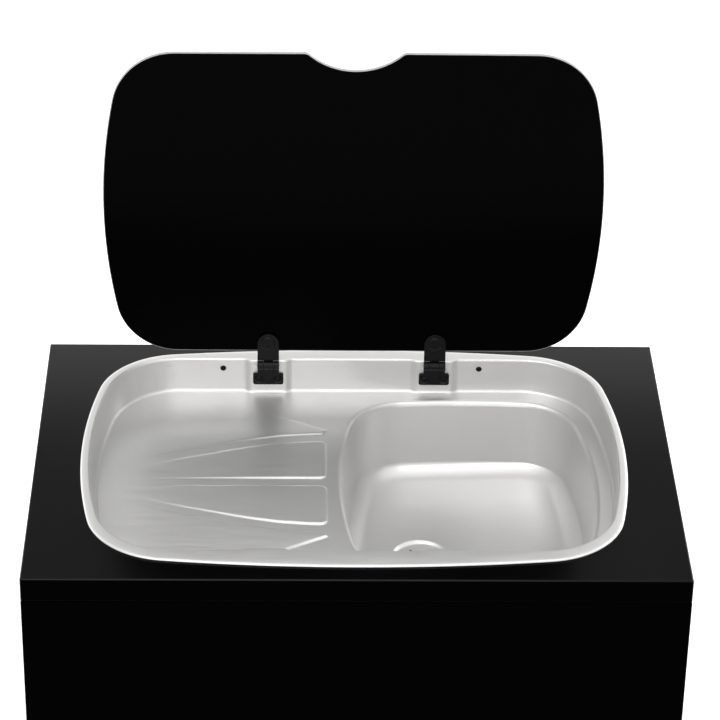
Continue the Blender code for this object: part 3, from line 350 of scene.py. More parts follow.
def zincMaterial(look):
    material, tree, shader = shaderOf("zincPlate", look["colour"], look["even"], metallic=1.0)
    clouds = grainOf(tree, look["cloudScale"], detail=4, stretch=look["cloudStretch"])
    rolled = grainOf(tree, look["rollScale"], detail=2, stretch=look["stretch"])
    tree.links.new(tinted(tree, clouds, look["dark"], look["light"]), shader.inputs["Base Color"])
    tree.links.new(between(tree, clouds, *look["roughness"]), shader.inputs["Roughness"])
    bumped(tree, shader, rolled, *look["bump"])
    return material


pinFinish = {"colour": (0.60, 0.60, 0.60), "even": 0.25, "grindScale": 900, "stretch": (0.1, 1, 1),
             "bump": (0.15, 0.0002)}


def pinSteelMaterial(look):
    material, tree, shader = shaderOf("pinSteel", look["colour"], look["even"], metallic=1.0)
    grind = grainOf(tree, look["grindScale"], detail=2, stretch=look["stretch"])
    bumped(tree, shader, grind, *look["bump"])
    return material


rubberFinish = {"colour": (0.014, 0.014, 0.014), "even": 0.7, "sparkScale": 500,
                "bump": (0.2, 0.0003)}
plasticFinish = {"colour": (0.012, 0.012, 0.012), "even": 0.42, "sparkScale": 300,
                 "bump": (0.1, 0.0003)}
mouldedLook = {"specular": 0.4, "spread": 0.06}


def mouldedMaterial(name, look):
    material, tree, shader = shaderOf(name, look["colour"], look["even"],
                                      specular=mouldedLook["specular"])
    spark = grainOf(tree, look["sparkScale"], detail=2)
    tree.links.new(between(tree, spark, look["even"] - mouldedLook["spread"],
                           look["even"] + mouldedLook["spread"]), shader.inputs["Roughness"])
    bumped(tree, shader, spark, *look["bump"])
    return material


beechFinish = {"colour": (0.52, 0.34, 0.19), "dark": (0.42, 0.26, 0.14),
               "light": (0.60, 0.42, 0.25), "even": 0.6, "fibreScale": 400,
               "stretch": (1, 1, 0.06), "bump": (0.3, 0.0003)}


def beechMaterial(look):
    material, tree, shader = shaderOf("beechWood", look["colour"], look["even"])
    fibre = grainOf(tree, look["fibreScale"], detail=4, stretch=look["stretch"])
    tree.links.new(tinted(tree, fibre, look["dark"], look["light"]), shader.inputs["Base Color"])
    bumped(tree, shader, fibre, *look["bump"])
    return material


satinSteel = satinSteelMaterial(steelFinish)
blackGlass = lidGlassMaterial(glassFinish)
groundEdge = groundEdgeMaterial(edgeFinish)
worktopBlack = boardMaterial("worktopLaminate", worktopFinish)
frontBlack = boardMaterial("frontLaminate", frontFinish)
carcassBlack = boardMaterial("carcassBoard", carcassFinish)
hingeBlack = paintedMetalMaterial("hingeBlack", hingeFinish)
trayBlack = paintedMetalMaterial("trayPaint", trayFinish)
zincPlate = zincMaterial(zincFinish)
pinSteel = pinSteelMaterial(pinFinish)
blackRubber = mouldedMaterial("blackRubber", rubberFinish)
blackPlastic = mouldedMaterial("blackPlastic", plasticFinish)
beechWood = beechMaterial(beechFinish)

finishes = {"black_board": worktopBlack, "front_board": frontBlack, "carcass_board": carcassBlack,
            "brushed_steel": satinSteel, "black_glass": blackGlass, "hinge_black": hingeBlack,
            "pin_steel": pinSteel, "zinc_steel": zincPlate, "rubber": blackRubber,
            "black_plastic": blackPlastic, "beech": beechWood, "tray_paint": trayBlack}
slotOf = {name: node.data.materials[0].name for name, node in nodes.items()}
bodyOf = {name: body for body, members in frame["record"]["behaviour"]["bodies"].items()
          for name in members}
for name, node in nodes.items():
    node.data.materials[0] = finishes[slotOf[name]]
print("materials made and put on the carried-over nodes")


def standsFor(piece, *names):  # rides with the nodes and takes their place
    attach(piece, bodyOf[names[0]])
    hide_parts(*names)
    return piece


# Outlines

def arcPoints(centre, radius, start, end, steps):
    return [Vector((centre[0] + radius * math.cos(start + (end - start) * i / steps),
                    centre[1] + radius * math.sin(start + (end - start) * i / steps)))
            for i in range(steps + 1)]


def barrelOutline(shape, inset, steps):  # bowed sides and ends that run into round corners
    halfWidth, halfDepth = shape["width"] / 2 - inset, shape["depth"] / 2 - inset
    side, end, corner = (shape[k] - inset for k in ("sideRadius", "endRadius", "cornerRadius"))
    sideCentre, endCentre = Vector((halfWidth - side, 0)), Vector((0, halfDepth - end))
    apart = endCentre - sideCentre
    near, far = side - corner, end - corner
    along = (near ** 2 - far ** 2 + apart.length_squared) / (2 * apart.length)
    across = math.sqrt(near ** 2 - along ** 2)
    unit = apart.normalized()
    middle = sideCentre + unit * along - Vector((-unit.y, unit.x)) * across
    if min(middle) < 0:  # the two circles' other crossing is the one in this corner
        middle = sideCentre + unit * along + Vector((-unit.y, unit.x)) * across
    sideAngle = math.atan2(*(middle - sideCentre).yx)
    endAngle = math.atan2(*(middle - endCentre).yx)
    quarter = arcPoints(sideCentre, side, 0, sideAngle, steps[0])[:-1]
    quarter += arcPoints(middle, corner, sideAngle, endAngle, steps[1])[:-1]
    quarter += arcPoints(endCentre, end, endAngle, math.pi / 2, steps[2])
    half = quarter + [Vector((-p.x, p.y)) for p in reversed(quarter[:-1])]
    at = Vector(shape.get("at", (0, 0)))
    return [p + at for p in half + [Vector((p.x, -p.y)) for p in reversed(half[1:-1])]]


def easedLine(points, radii, steps):  # an open line with its inner corners rounded
    line = [Vector(points[0])]
    for before, here, after, radius, count in zip(points, points[1:], points[2:], radii, steps):
        here = Vector(here)
        back, on = (Vector(before) - here).normalized(), (Vector(after) - here).normalized()
        half = back.angle(on) / 2
        start, end = here + back * radius / math.tan(half), here + on * radius / math.tan(half)
        middle = here + (back + on).normalized() * radius / math.sin(half)
        turn = (start - middle).angle_signed(end - middle)
        for i in range(count + 1):
            spoke = (start - middle).copy()
            spoke.rotate(Matrix.Rotation(-turn * i / count, 2))
            line.append(middle + spoke)
    return line + [Vector(points[-1])]


def eased(t):
    t = min(max(t, 0), 1)
    return t * t * (3 - 2 * t)


# Sink pressing

# Steps count the points along an outline's side, corner and end, or round a bend. The rim and the
# well share theirs, because their rings are joined point by point.
wallSteps = (26, 26, 84)
hingePlaces = {"left": -0.096, "right": 0.096}
rim = {"width": 0.600, "depth": 0.435, "sideRadius": 0.660, "endRadius": 1.890,
       "cornerRadius": 0.093, "steps": wallSteps, "top": 0.2324, "skirt": 0.0018,
       "roll": (0.0040, 0.0013), "rollSteps": 7}
well = {"width": 0.580, "depth": 0.384, "sideRadius": 0.610, "endRadius": 48.8,
        "cornerRadius": 0.084, "steps": wallSteps, "at": (0, 0.004), "floor": 0.1894,
        "draft": 0.001, "edge": 0.0025, "foot": 0.004, "bendSteps": (7, 9), "lead": (0.006, 0.014),
        "leftDraft": 0.0035, "leftFrom": 0.22, "leftOver": 0.06}
bowl = {"width": 0.280, "depth": 0.338, "sideRadius": 0.560, "endRadius": 0.900,
        "cornerRadius": 0.066, "steps": (16, 20, 16), "at": (0.1274, 0.004), "floor": 0.0889,
        "draft": 0.010, "edge": 0.007, "foot": 0.022, "bendSteps": (8, 16),
        "lead": (0.012, 0.08), "fall": 0.09, "fallReach": 1.5}
recess = {"at": (0.077, 0.004), "sides": 72,
          "profile": [(0.0345, 0), (0.0332, -0.0002), (0.0318, -0.0009), (0.0304, -0.0022),
                      (0.0294, -0.0028), (0.0280, -0.0030), (0.0220, -0.0030)]}
pads = {"flat": 0.020, "foot": 0.027, "rise": 0.0036}
# The fan's edge is half its width along the drainer. The outer fields end at a diagonal, which is
# a point and a direction, and the grid's columns are start, step and count.
ribs = {"rise": 0.0014, "slope": 0.0036, "rightEnd": -0.030, "groove": 0.0155, "corner": 0.008,
        "edge": [(-0.250, 0.020), (-0.236, 0.029), (-0.216, 0.039), (-0.180, 0.051),
                 (-0.160, 0.057), (-0.130, 0.0665), (-0.112, 0.0715), (-0.081, 0.0785),
                 (-0.047, 0.082), (-0.020, 0.083)],
        "fade": (-0.245, -0.070), "outerFade": 0.065,
        "diagonal": ((-0.031, 0.106), (-0.874, 0.486))}
ribGrid = {"columns": [(-0.244, 0.004, 50), (-0.0445, 0.0009, 24)], "row": 0.0011, "rows": 128,
           "margin": 0.002}
sheetThickness = 0.001


def onPad(x):  # how far along a pad's ramp a place on the wall is, 0 to 1
    return max(eased((pads["foot"] - abs(x - place)) / (pads["foot"] - pads["flat"]))
               for place in hingePlaces.values())


def wallRing(inset, height):  # the well's outline at a height, with the pads and the left lean
    nearWall = well["depth"] / 2 * nearEdge
    depth = (rim["top"] - height) / (rim["top"] - well["floor"])
    points = []
    for p in barrelOutline(well, inset, well["steps"]):
        y = p.y - well["at"][1]
        if abs(y) > nearWall:
            push = onPad(p.x) * (pads["rise"] - well["draft"] * depth)
            y -= math.copysign(push, y)
        lean = eased((-p.x - well["leftFrom"]) / well["leftOver"]) * well["leftDraft"] * depth
        points.append(Vector((p.x + lean, y + well["at"][1], height)))
    return points


def fanEdge(x):  # half the fan's width at a place along the drainer
    table = ribs["edge"]
    for (xa, ya), (xb, yb) in zip(table, table[1:]):
        if x <= xb:
            t = (x - xa) / (xb - xa)
            return ya + (yb - ya) * t
    return table[-1][1]


def insideCorner(a, b):  # distance inside two edges that meet in a round corner
    r = ribs["corner"]
    if a < r and b < r:
        return r - math.hypot(r - a, r - b)
    return min(a, b)


def ribHeight(x, y):  # a raised field in the fan and one outside it, mirrored about the middle
    y = abs(y - well["at"][1])
    edge, width = fanEdge(x), ribs["slope"]
    fromEnd = ribs["rightEnd"] - x
    inner = min(insideCorner(fromEnd, y - ribs["groove"] / 2), insideCorner(fromEnd, edge - y))
    (px, py), (ux, uy) = ribs["diagonal"]
    beyond = y - edge - ribs["groove"]
    outer = min(insideCorner(fromEnd, beyond), ux * (y - py) - uy * (x - px))
    fall = 1 - eased(beyond / ribs["outerFade"])
    low, high = ribs["fade"]
    rise = ribs["rise"] * min(max((x - low) / (high - low), 0), 1)
    return rise * max(eased(inner / width + 0.5), eased(outer / width + 0.5) * fall)


def bowlFall(x, y):  # the bowl's floor rises away from the waste
    (cx, cy), reach = recess["at"], recess["profile"][0][0]
    return bowl["fall"] * max(math.hypot(x - cx, y - cy) - reach, 0)


def sheetBetween(bm, outer, inner, extra, height):  # fills between two loops over extra points
    loops = [[(p.x, p.y) for p in loop] for loop in (outer, inner)]
    points = loops[0] + loops[1] + extra
    count, more = len(outer), len(inner)
    edges = [(i, (i + 1) % count) for i in range(count)]
    edges += [(count + i, count + (i + 1) % more) for i in range(more)]
    places, _, faces, *_ = geometry.delaunay_2d_cdt(
        [Vector(p) for p in points], edges, [], 1, weld / 10)
    made = [bm.verts.new((p.x, p.y, height(p.x, p.y))) for p in places]
    hole = loops[1]
    for face in faces:
        middle = sum((places[i] for i in face), Vector((0, 0))) / len(face)
        if not insideLoop(middle, hole):
            bm.faces.new([made[i] for i in face])


def insideLoop(p, loop):
    inside = False
    for (xa, ya), (xb, yb) in zip(loop, loop[1:] + loop[:1]):
        if (ya > p[1]) != (yb > p[1]) and p[0] < (xb - xa) * (p[1] - ya) / (yb - ya) + xa:
            inside = not inside
    return inside


def bridged(bm, rings):
    made = [[bm.verts.new(p) for p in ring] for ring in rings]
    for outer, inner in zip(made, made[1:]):
        for i in range(len(outer)):
            bm.faces.new((outer[i - 1], outer[i], inner[i], inner[i - 1]))


def ringsOf(shape, line):
    return [[Vector((p.x, p.y, z)) for p in barrelOutline(shape, inset, shape["steps"])]
            for inset, z in line]


def rimLine():  # from under the rolled edge to the flat of the flange
    top, wide, fall = rim["top"], *rim["roll"]
    turns = [t * math.pi / (2 * rim["rollSteps"]) for t in range(rim["rollSteps"] + 1)]
    roll = [(wide * (1 - math.cos(t)), top - fall + fall * math.sin(t)) for t in turns]
    return [(0, top - rim["skirt"])] + roll


def hollowLine(shape, top):  # over the edge, down the wall and round the foot
    before, after = shape["lead"]
    points = [(-before, top), (0, top), (shape["draft"], shape["floor"]),
              (shape["draft"] + after, shape["floor"])]
    return easedLine(points, (shape["edge"], shape["foot"]), shape["bendSteps"])[1:-1]


def drainerPoints(reach):  # a grid over the flat floor, finer where the ribs end
    columns = [start + step * i for start, step, count in ribGrid["columns"] for i in range(count)]
    rows = [ribGrid["row"] * i for i in range(-ribGrid["rows"], ribGrid["rows"] + 1)]
    foot = [(p.x, p.y) for p in wallRing(reach + ribGrid["margin"], well["floor"])]
    points = [(x, well["at"][1] + y) for x in columns for y in rows]
    return [p for p in points if insideLoop(p, foot)]


def sinkPressingPiece():
    bm = bmesh.new()
    wellLine = hollowLine(well, rim["top"])
    wellRings = [wallRing(inset, z) for inset, z in wellLine]
    bridged(bm, ringsOf(rim, rimLine()) + wellRings)
    bowlRings = ringsOf(bowl, hollowLine(bowl, well["floor"]))
    reach = bowl["fallReach"] * bowl["foot"]
    for ring in bowlRings:
        for p in ring:
            p.z += bowlFall(p.x, p.y) * eased((bowl["floor"] + reach - p.z) / reach)
    bridged(bm, bowlRings)
    wasteRings = [[Vector((p.x, p.y, bowl["floor"] + z))
                   for p in arcPoints(recess["at"], radius, 0, 2 * math.pi, recess["sides"])[:-1]]
                  for radius, z in recess["profile"]]
    bridged(bm, wasteRings)
    sheetBetween(bm, wellRings[-1], bowlRings[0], drainerPoints(wellLine[-1][0]),
                 lambda x, y: well["floor"] + ribHeight(x, y))
    sheetBetween(bm, bowlRings[-1], wasteRings[0], [],
                 lambda x, y: bowl["floor"] + bowlFall(x, y))
    bmesh.ops.remove_doubles(bm, verts=bm.verts, dist=2 * weld)
    for face in bm.faces:  # the sheet faces up before it gets its thickness
        face.normal_update()
        if face.normal.z < 0:
            face.normal_flip()
    bmesh.ops.recalc_face_normals(bm, faces=bm.faces)
    mesh = bpy.data.meshes.new("sinkPressing")
    bm.to_mesh(mesh)
    bm.free()
    piece = madeActive(linked(bpy.data.objects.new("sinkPressing", mesh)))
    if sum(f.normal.z * f.area for f in mesh.polygons) < 0:
        mesh.flip_normals()
    sheet = piece.modifiers.new("sheet", "SOLIDIFY")
    sheet.thickness = sheetThickness
    sheet.offset = -1
    sheet.use_even_offset = True
    bpy.ops.object.modifier_apply(modifier="sheet")
    settled(piece, smoothAngle=60, weighted=False)
    coated(piece, satinSteel)
    print("sink pressing:", len(piece.data.polygons), "faces")
    standsFor(piece, "sink_pressing")


sinkPressingPiece()


# Screws and waste fitting

sinkScrew = {"head": 0.0034, "rise": 0.0018, "crown": 0, "shank": 0.0014,
             "slot": (0.0009, 0.0030), "chamfer": (0.0005, 0.0006)}
baseScrew = {"head": 0.0050, "rise": 0.0019, "crown": 0.0007, "shank": 0.0017,
             "slot": (0.0008, 0.0026), "chamfer": (0.0005, 0.0006)}
wasteScrew = {"rise": 0.0022, "shank": 0.0030, "slot": (0.0012, 0.014), "slotDepth": 0.0018,
              "chamfer": (0.0006, 0.0008)}
flange = {"radius": 0.0275, "thickness": 0.0012, "dish": 0.0004,
          "dishCurve": [(0, 1), (0.70, 1), (0.80, 0.3), (0.88, 0)],
          "rimCurve": [(0.0012, 0.0001), (0.0004, 0.0005)], "slots": 5, "slot": (0.003, 0.011),
          "reach": 0.014}
domeSteps = 8
headLip = (0.0003, 0.0002)  # how far a head's rim turns in underneath, and how thick it is


def lipLine(radius):
    inward, thick = headLip
    return [(radius, thick), (radius - inward, 0)]


def domeLine(head, rise):  # from the crown over the rim to the underside of a domed head
    angles = [t * math.pi / 2 / domeSteps for t in range(domeSteps)]
    dome = [(head * math.sin(t), rise * math.cos(t)) for t in angles]
    return dome + lipLine(head)


def shankLine(radius, end, chamfer):  # from the head to a shank's chamfered end
    wide, long = chamfer
    return [(radius, 0), (radius, end + long), (radius - wide, end), (0, end)]


def domedScrew(shape, length):  # head up at the origin, shank downward
    rise = shape["rise"] + shape["crown"]
    line = domeLine(shape["head"], rise) + shankLine(shape["shank"], -length, shape["chamfer"])
    piece = turnedPiece("screwPattern", line, steps=32)
    wide, long = shape["slot"]
    for size in ((long, wide, rise), (wide, long, rise)):
        cutOut(piece, block("slot", (0, 0, rise), size))
    return coated(settled(piece, smoothAngle=32), hingeBlack)


def screwsFor(shape, names):  # screws along Y, heads inside the well
    length = max((high - low).y for low, high in map(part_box, names)) - shape["rise"]
    pattern = domedScrew(shape, length)
    for name in names:
        low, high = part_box(name)
        front = (low.y + high.y) / 2 < well["at"][1]  # the front wall's screws point the other way
        head = high.y - shape["rise"] if front else low.y + shape["rise"]
        turn = Matrix.Rotation(math.radians(-90 if front else 90), 4, "X")
        middle = Vector(((low.x + high.x) / 2, head, (low.z + high.z) / 2))
        standsFor(copied(pattern, name + "Domed", Matrix.Translation(middle) @ turn), name)
    bpy.data.objects.remove(pattern)


def wasteFlangePiece():
    low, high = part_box("waste_flange")
    radius, thick, dish = flange["radius"], flange["thickness"], flange["dish"]
    line = [(radius * part, thick - dish * deep) for part, deep in flange["dishCurve"]]
    line += [(radius - inward, thick - drop) for inward, drop in flange["rimCurve"]]
    piece = turnedPiece("wasteFlangeDished", line + lipLine(radius) + [(0, 0)], steps=72)
    wide, long = flange["slot"]
    reach, half, deep = flange["reach"], (long - wide) / 2, through / 2
    for i in range(flange["slots"]):  # rounded slots, none of them at the back
        tool = united(block("slot", (0, reach, 0), (wide, long - wide, deep)),
                      *(rod("end", (0, reach + way * half, 0), wide / 2, deep, sides=20)
                        for way in (-1, 1)))
        angle = 2 * math.pi * (i + 0.5) / flange["slots"]
        tool.data.transform(Matrix.Rotation(angle, 4, "Z"))
        cutOut(piece, tool)
    middle = (low + high) / 2
    piece.data.transform(Matrix.Translation((middle.x, middle.y, low.z)))
    standsFor(coated(settled(piece, smoothAngle=30), satinSteel), "waste_flange")


def wasteScrewPiece():
    low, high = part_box("waste_screw")
    rise, (wide, long) = wasteScrew["rise"], wasteScrew["slot"]
    line = domeLine((high - low).x / 2, rise)
    line += shankLine(wasteScrew["shank"], low.z - high.z + rise, wasteScrew["chamfer"])
    piece = turnedPiece("wasteScrewSlotted", line, steps=40)
    cutOut(piece, block("slot", (0, 0, rise), (wide, long, wasteScrew["slotDepth"])))
    middle = (low + high) / 2
    piece.data.transform(Matrix.Translation((middle.x, middle.y, high.z - rise)))
    standsFor(coated(settled(piece, smoothAngle=32), pinSteel), "waste_screw")


screwsFor(sinkScrew, [n for n in nodes if n.startswith("sink_screw")])
screwsFor(baseScrew, [n for n in nodes if n.startswith("hinge_screw")])
wasteFlangePiece()
wasteScrewPiece()
print("screws and waste made")


# Worktop and front

board = {"edge": 0.0016, "cutOut": 0.005, "cutSteps": (16, 16, 16), "frontEdge": 0.0009}


def worktopPiece():
    low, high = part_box("worktop")
    piece = rounded(settled(boxPiece("worktopBoard", low, high)), board["edge"], 4)
    outline = barrelOutline(well, -board["cutOut"], board["cutSteps"])
    cutOut(piece, platePiece("cutOut", outline, low.z - through / 2, high.z + through / 2))
    settled(piece)
    coated(piece, worktopBlack, frontBlack)
    for face in piece.data.polygons:  # the front edge is as matt as the front
        face.material_index = 1 if face.normal.y < -squareOn else 0
    standsFor(piece, "worktop")


def frontPanelPiece():
    piece = rounded(settled(boxPiece("frontBoard", *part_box("front_panel"))), board["frontEdge"], 3)
    standsFor(coated(settled(piece), frontBlack), "front_panel")


worktopPiece()
frontPanelPiece()
print("worktop and front made")


# Lid, drawn closed about the hinge axis and turned open

lidJoint = next(joint for joint in frame["joints"] if joint["name"] == "lid_hinge")
axis = Vector(lidJoint["pos_m"])
openTurn = (Matrix.Translation(axis)
            @ Matrix.Rotation(-math.radians(lidJoint["range_deg"][1]), 4, "X"))
lid = {"width": 0.563, "depth": 0.370, "sideRadius": 0.642, "endRadius": 51.36,
       "cornerRadius": 0.071, "steps": (20, 24, 12), "setback": 0.0168, "under": 0.0042,
       "thickness": 0.005, "notchWidth": 0.107, "notchDepth": 0.0208, "notchBlend": 0.010,
       "notchSteps": (8, 28), "grind": 0.0008}


def lidOutline():
    outline = barrelOutline(lid, 0, lid["steps"])
    front, half, deep = -lid["depth"] / 2, lid["notchWidth"] / 2, lid["notchDepth"]
    blend, (blendSteps, arcSteps) = lid["notchBlend"], lid["notchSteps"]
    radius = (half ** 2 + deep ** 2) / (2 * deep)
    arcY, blendY = front + deep - radius, front + blend
    blendX = math.sqrt((radius + blend) ** 2 - (blendY - arcY) ** 2)
    swing = math.atan2(blendY - arcY, blendX)
    right = arcPoints((blendX, blendY), blend, -math.pi / 2, swing - math.pi, blendSteps)
    notch = [Vector((-p.x, p.y)) for p in right]
    notch += arcPoints((0, arcY), radius, math.pi - swing, swing, arcSteps)[1:-1]
    notch += list(reversed(right))
    kept = [p for p in outline if not (p.y < front * nearEdge and abs(p.x) <= blendX)]
    split = max(range(len(kept)), key=lambda i: kept[i].x - kept[i - 1].x
                if kept[i].y < front * nearEdge else 0)
    middle = Vector((0, -lid["setback"] - lid["depth"] / 2))
    return [p + middle for p in kept[:split] + notch + kept[split:]]


def lidGlassPiece():
    low, high = lid["under"], lid["under"] + lid["thickness"]
    piece = platePiece("lidPlate", lidOutline(), low, high)
    rounded(piece, lid["grind"], 2)
    coated(piece, blackGlass, groundEdge)
    for face in piece.data.polygons:
        face.material_index = 0 if abs(face.normal.z) > squareOn else 1
    settled(piece, smoothAngle=30)
    piece.data.transform(openTurn)
    standsFor(piece, "lid_glass")


lidGlassPiece()
print("lid made")


# Hinges, drawn about the hinge axis as the lid is

hinge = {"width": 0.0248, "barrel": 0.0055, "knuckle": 0.0110, "play": 0.0003,
         "leaf": (0.0004, 0.0030), "start": 0.0058, "tip": 0.0276, "tipSteps": 28,
         "webLap": 0.002, "bore": 0.0021, "hole": 0.0026, "softEdge": 0.0005,
         "fineEdge": 0.0003}
hub = {"radius": 0.0090, "rise": 0.0012, "lift": 0.0001, "slot": (0.0022, 0.0064, 0.0022),
       "shank": 0.0025, "length": 0.0105, "chamfer": (0.0005, -0.0006),
       "curve": [(0.6, 0), (0.78, 0.0001), (0.90, 0.0004), (0.97, 0.0008)]}
clamp = {"outer": 0.0120, "inner": 0.0095,
         "curve": [(0.0070, 0), (0.0086, 0.0002), (0.0098, 0.0008), (0.0104, 0.0016),
                   (0.0105, 0.0022), (0.0104, 0.0025)]}
hingeBase = {"wide": 0.0350, "low": 0.2014, "high": 0.2164, "front": 0.1896, "back": 0.1921,
             "corner": 0.0025, "neckFoot": 0.2139, "throat": (0.0005, 0.0003), "hole": 0.0019,
             "holeReach": 0.0111}
pin = {"proud": 0.0004, "end": [(0, 0), (0.0010, 0.0001), (0.0016, 0.0004), (0.00195, 0.0010),
                                (0.0020, 0.0014)]}


def barrelRod(name, centre, length):  # a piece of the round hinge barrel
    return rounded(rod(name, centre, hinge["barrel"], length, "X", sides=48), hinge["fineEdge"], 2)


def leafPiece():
    half = hinge["width"] / 2
    outline = [Vector((-half, -hinge["start"])), Vector((half, -hinge["start"]))]
    outline += arcPoints((0, -hinge["tip"]), half, 0, -math.pi, hinge["tipSteps"])
    leaf = rounded(platePiece("hingeLeaf", outline, *hinge["leaf"]), hinge["softEdge"], 2)
    knuckle = barrelRod("knuckle", (0, 0, 0), hinge["knuckle"])
    reach = hinge["start"] + hinge["webLap"]
    low, high = hinge["leaf"]
    web = boxPiece("web", (-hinge["knuckle"] / 2, -reach, low + nest),
                   (hinge["knuckle"] / 2, 0, high - nest))
    united(leaf, knuckle, settled(web))
    cutOut(leaf, rod("bore", (0, 0, 0), hinge["bore"], 2 * through, "X"),
           rod("hole", (0, -hinge["tip"], 0), hinge["hole"], through))
    return coated(settled(leaf, smoothAngle=32), hingeBlack)


def hubPiece():  # the lid screw's wide flat head, seen when the lid is open, and its shank
    radius, rise = hub["radius"], hub["rise"]
    line = [(0, -rise)] + [(radius * part, -rise + drop) for part, drop in hub["curve"]]
    line += [(radius, 0)] + shankLine(hub["shank"], hub["length"], hub["chamfer"])
    piece = turnedPiece("hubPattern", line, steps=48)
    cutOut(piece, block("slot", (0, 0, -rise), hub["slot"]))
    piece.data.transform(Matrix.Translation((0, -hinge["tip"], hub["lift"])))
    return coated(settled(piece, smoothAngle=32), hingeBlack)


def clampPiece():  # round nut plate on the lid's outer face
    line = [(0, clamp["outer"])] + [(r, clamp["outer"] - drop) for r, drop in clamp["curve"]]
    piece = turnedPiece("clampPattern", line + [(0, clamp["inner"])], steps=48)
    cutOut(piece, rod("hole", (0, 0, clamp["inner"]), hinge["hole"], through))
    piece.data.transform(Matrix.Translation((0, -hinge["tip"], 0)))
    return coated(settled(piece, smoothAngle=32), hingeBlack)


def cornersBevelled(piece, width):  # rounds the four edges through a plate that faces along Y
    bpy.ops.object.mode_set(mode="EDIT")
    bpy.ops.mesh.select_all(action="DESELECT")
    bpy.ops.mesh.select_mode(type="EDGE")
    bpy.ops.object.mode_set(mode="OBJECT")
    for edge in piece.data.edges:
        a, b = (piece.data.vertices[i].co for i in edge.vertices)
        edge.select = abs(b.y - a.y) > weld
    bpy.ops.object.mode_set(mode="EDIT")
    bpy.ops.mesh.bevel(offset=width, segments=6, affect="EDGES")
    bpy.ops.object.mode_set(mode="OBJECT")


def softBox(name, low, high):
    return rounded(settled(boxPiece(name, low, high), weighted=False), hinge["fineEdge"], 2)


def basePiece(x):
    shape, half = hingeBase, hinge["width"] / 2
    piece = boxPiece("hingeBase", (x - shape["wide"] / 2, shape["front"], shape["low"]),
                     (x + shape["wide"] / 2, shape["back"], shape["high"]))
    cornersBevelled(settled(piece, weighted=False), shape["corner"])
    rounded(piece, hinge["softEdge"], 2, angle=60)
    shoulder = half - hinge["knuckle"] / 2 - hinge["play"]
    parts = []
    for way in (-1, 1):
        middle = x + way * (half - shoulder / 2)
        parts.append(barrelRod("lug", (middle, axis.y, axis.z), shoulder))
        parts.append(softBox("neck", (middle - shoulder / 2 + nest, axis.y - 2 * nest,
                                      shape["neckFoot"]),
                             (middle + shoulder / 2 - nest, shape["back"] - nest, axis.z)))
    back, below = shape["throat"]
    parts.append(softBox("throat", (x - half + shoulder / 2, axis.y + back,
                                    shape["neckFoot"] - below),
                         (x + half - shoulder / 2, shape["back"] - 2 * nest,
                          axis.z - hinge["barrel"] - 2 * hinge["play"])))
    united(piece, *parts)
    level = (shape["low"] + shape["high"]) / 2
    cutOut(piece, rod("bore", tuple(axis + Vector((x, 0, 0))), hinge["bore"], 2 * through, "X"),
           *(rod("hole", (x + way * shape["holeReach"], shape["front"], level), shape["hole"],
                 through, "Y") for way in (-1, 1)))
    return coated(settled(piece, smoothAngle=32), hingeBlack)


def pinPiece(x):  # blackened pin with domed ends
    half = hinge["width"] / 2 + pin["proud"]
    line = [(r, half - drop) for r, drop in pin["end"]]
    line += [(r, -z) for r, z in reversed(line)]
    piece = turnedPiece("hingePin", line, steps=32)
    piece.data.transform(Matrix.Translation(axis + Vector((x, 0, 0)))
                         @ Matrix.Rotation(math.pi / 2, 4, "Y"))
    return coated(settled(piece, smoothAngle=40), hingeBlack)


leafPattern, hubPattern, clampPattern = leafPiece(), hubPiece(), clampPiece()
for side, x in hingePlaces.items():
    turnOpen = openTurn @ Matrix.Translation((x, 0, 0))
    standsFor(copied(leafPattern, side + "HingeLeaf", turnOpen), "hinge_leaf_" + side)
    standsFor(copied(hubPattern, side + "LidScrew", turnOpen), "lid_screw_" + side)
    standsFor(copied(clampPattern, side + "ClampPlate", turnOpen), "hinge_clamp_" + side)
    standsFor(basePiece(x), "hinge_base_" + side).name = side + "HingeBase"
    standsFor(pinPiece(x), "hinge_pin_" + side).name = side + "HingePin"
for pattern in (leafPattern, hubPattern, clampPattern):
    bpy.data.objects.remove(pattern)
print("hinges made")


# Carcass, tray and runners keep their drawn shapes and get rounded edges

softened = {0.0006: ["side_panel_left", "side_panel_right", "rear_panel", "floor_panel"],
            0.0004: ["base_tray", "hose_grommet", "waste_nut", "backing_plate_left",
                     "backing_plate_right"],
            0.0003: [n for n in nodes if n.startswith(("runner_outer", "runner_middle",
                                                       "runner_inner"))],
            0.0002: [n for n in nodes if n.startswith(("runner_bolt", "runner_screw"))]}
for width, names in softened.items():
    for name in names:
        standsFor(refined(name, width), name)
print("carcass, tray and runners softened")


# Stage

# A lamp is its name, place, target, size and power.
studio = {"floor": 0.86, "floorGlow": 0.62, "floorSize": 60, "floorTop": -0.0002, "white": 1.0,
          "room": 0.38, "overhead": 0.1, "fade": (0.12, 0.42),
          "lamps": [("topFront", (-0.5, -1.1, 2.3), (0, 0, 0.2), (1.6, 1.2), 20),
                    ("over", (0, -0.1, 2.2), (0, 0, 0.2), (4.2, 3.4), 36),
                    ("topBack", (0.2, 0.6, 1.9), (0, -0.05, 0.2), (1.6, 0.5), 3.5),
                    ("frontLow", (0, -2.6, 0.9), (0, 0, 0.2), (1.6, 0.8), 12),
                    ("backLeft", (-1.3, 1.0, 1.1), (0, 0, 0.2), (0.8, 0.8), 5),
                    ("backRight", (1.3, 1.0, 1.1), (0, 0, 0.2), (0.8, 0.8), 12),
                    ("backPanel", (0, 1.05, 0.45), (0, 0, 0.45), (2.4, 0.7), 5.5)]}
view = {"lens": 153.8865, "sensor": 36, "clip": (0.05, 100), "at": (-0.07301, -2.84057, 2.08776),
        "turn": (58.5662, -0.9245, -1.0017)}


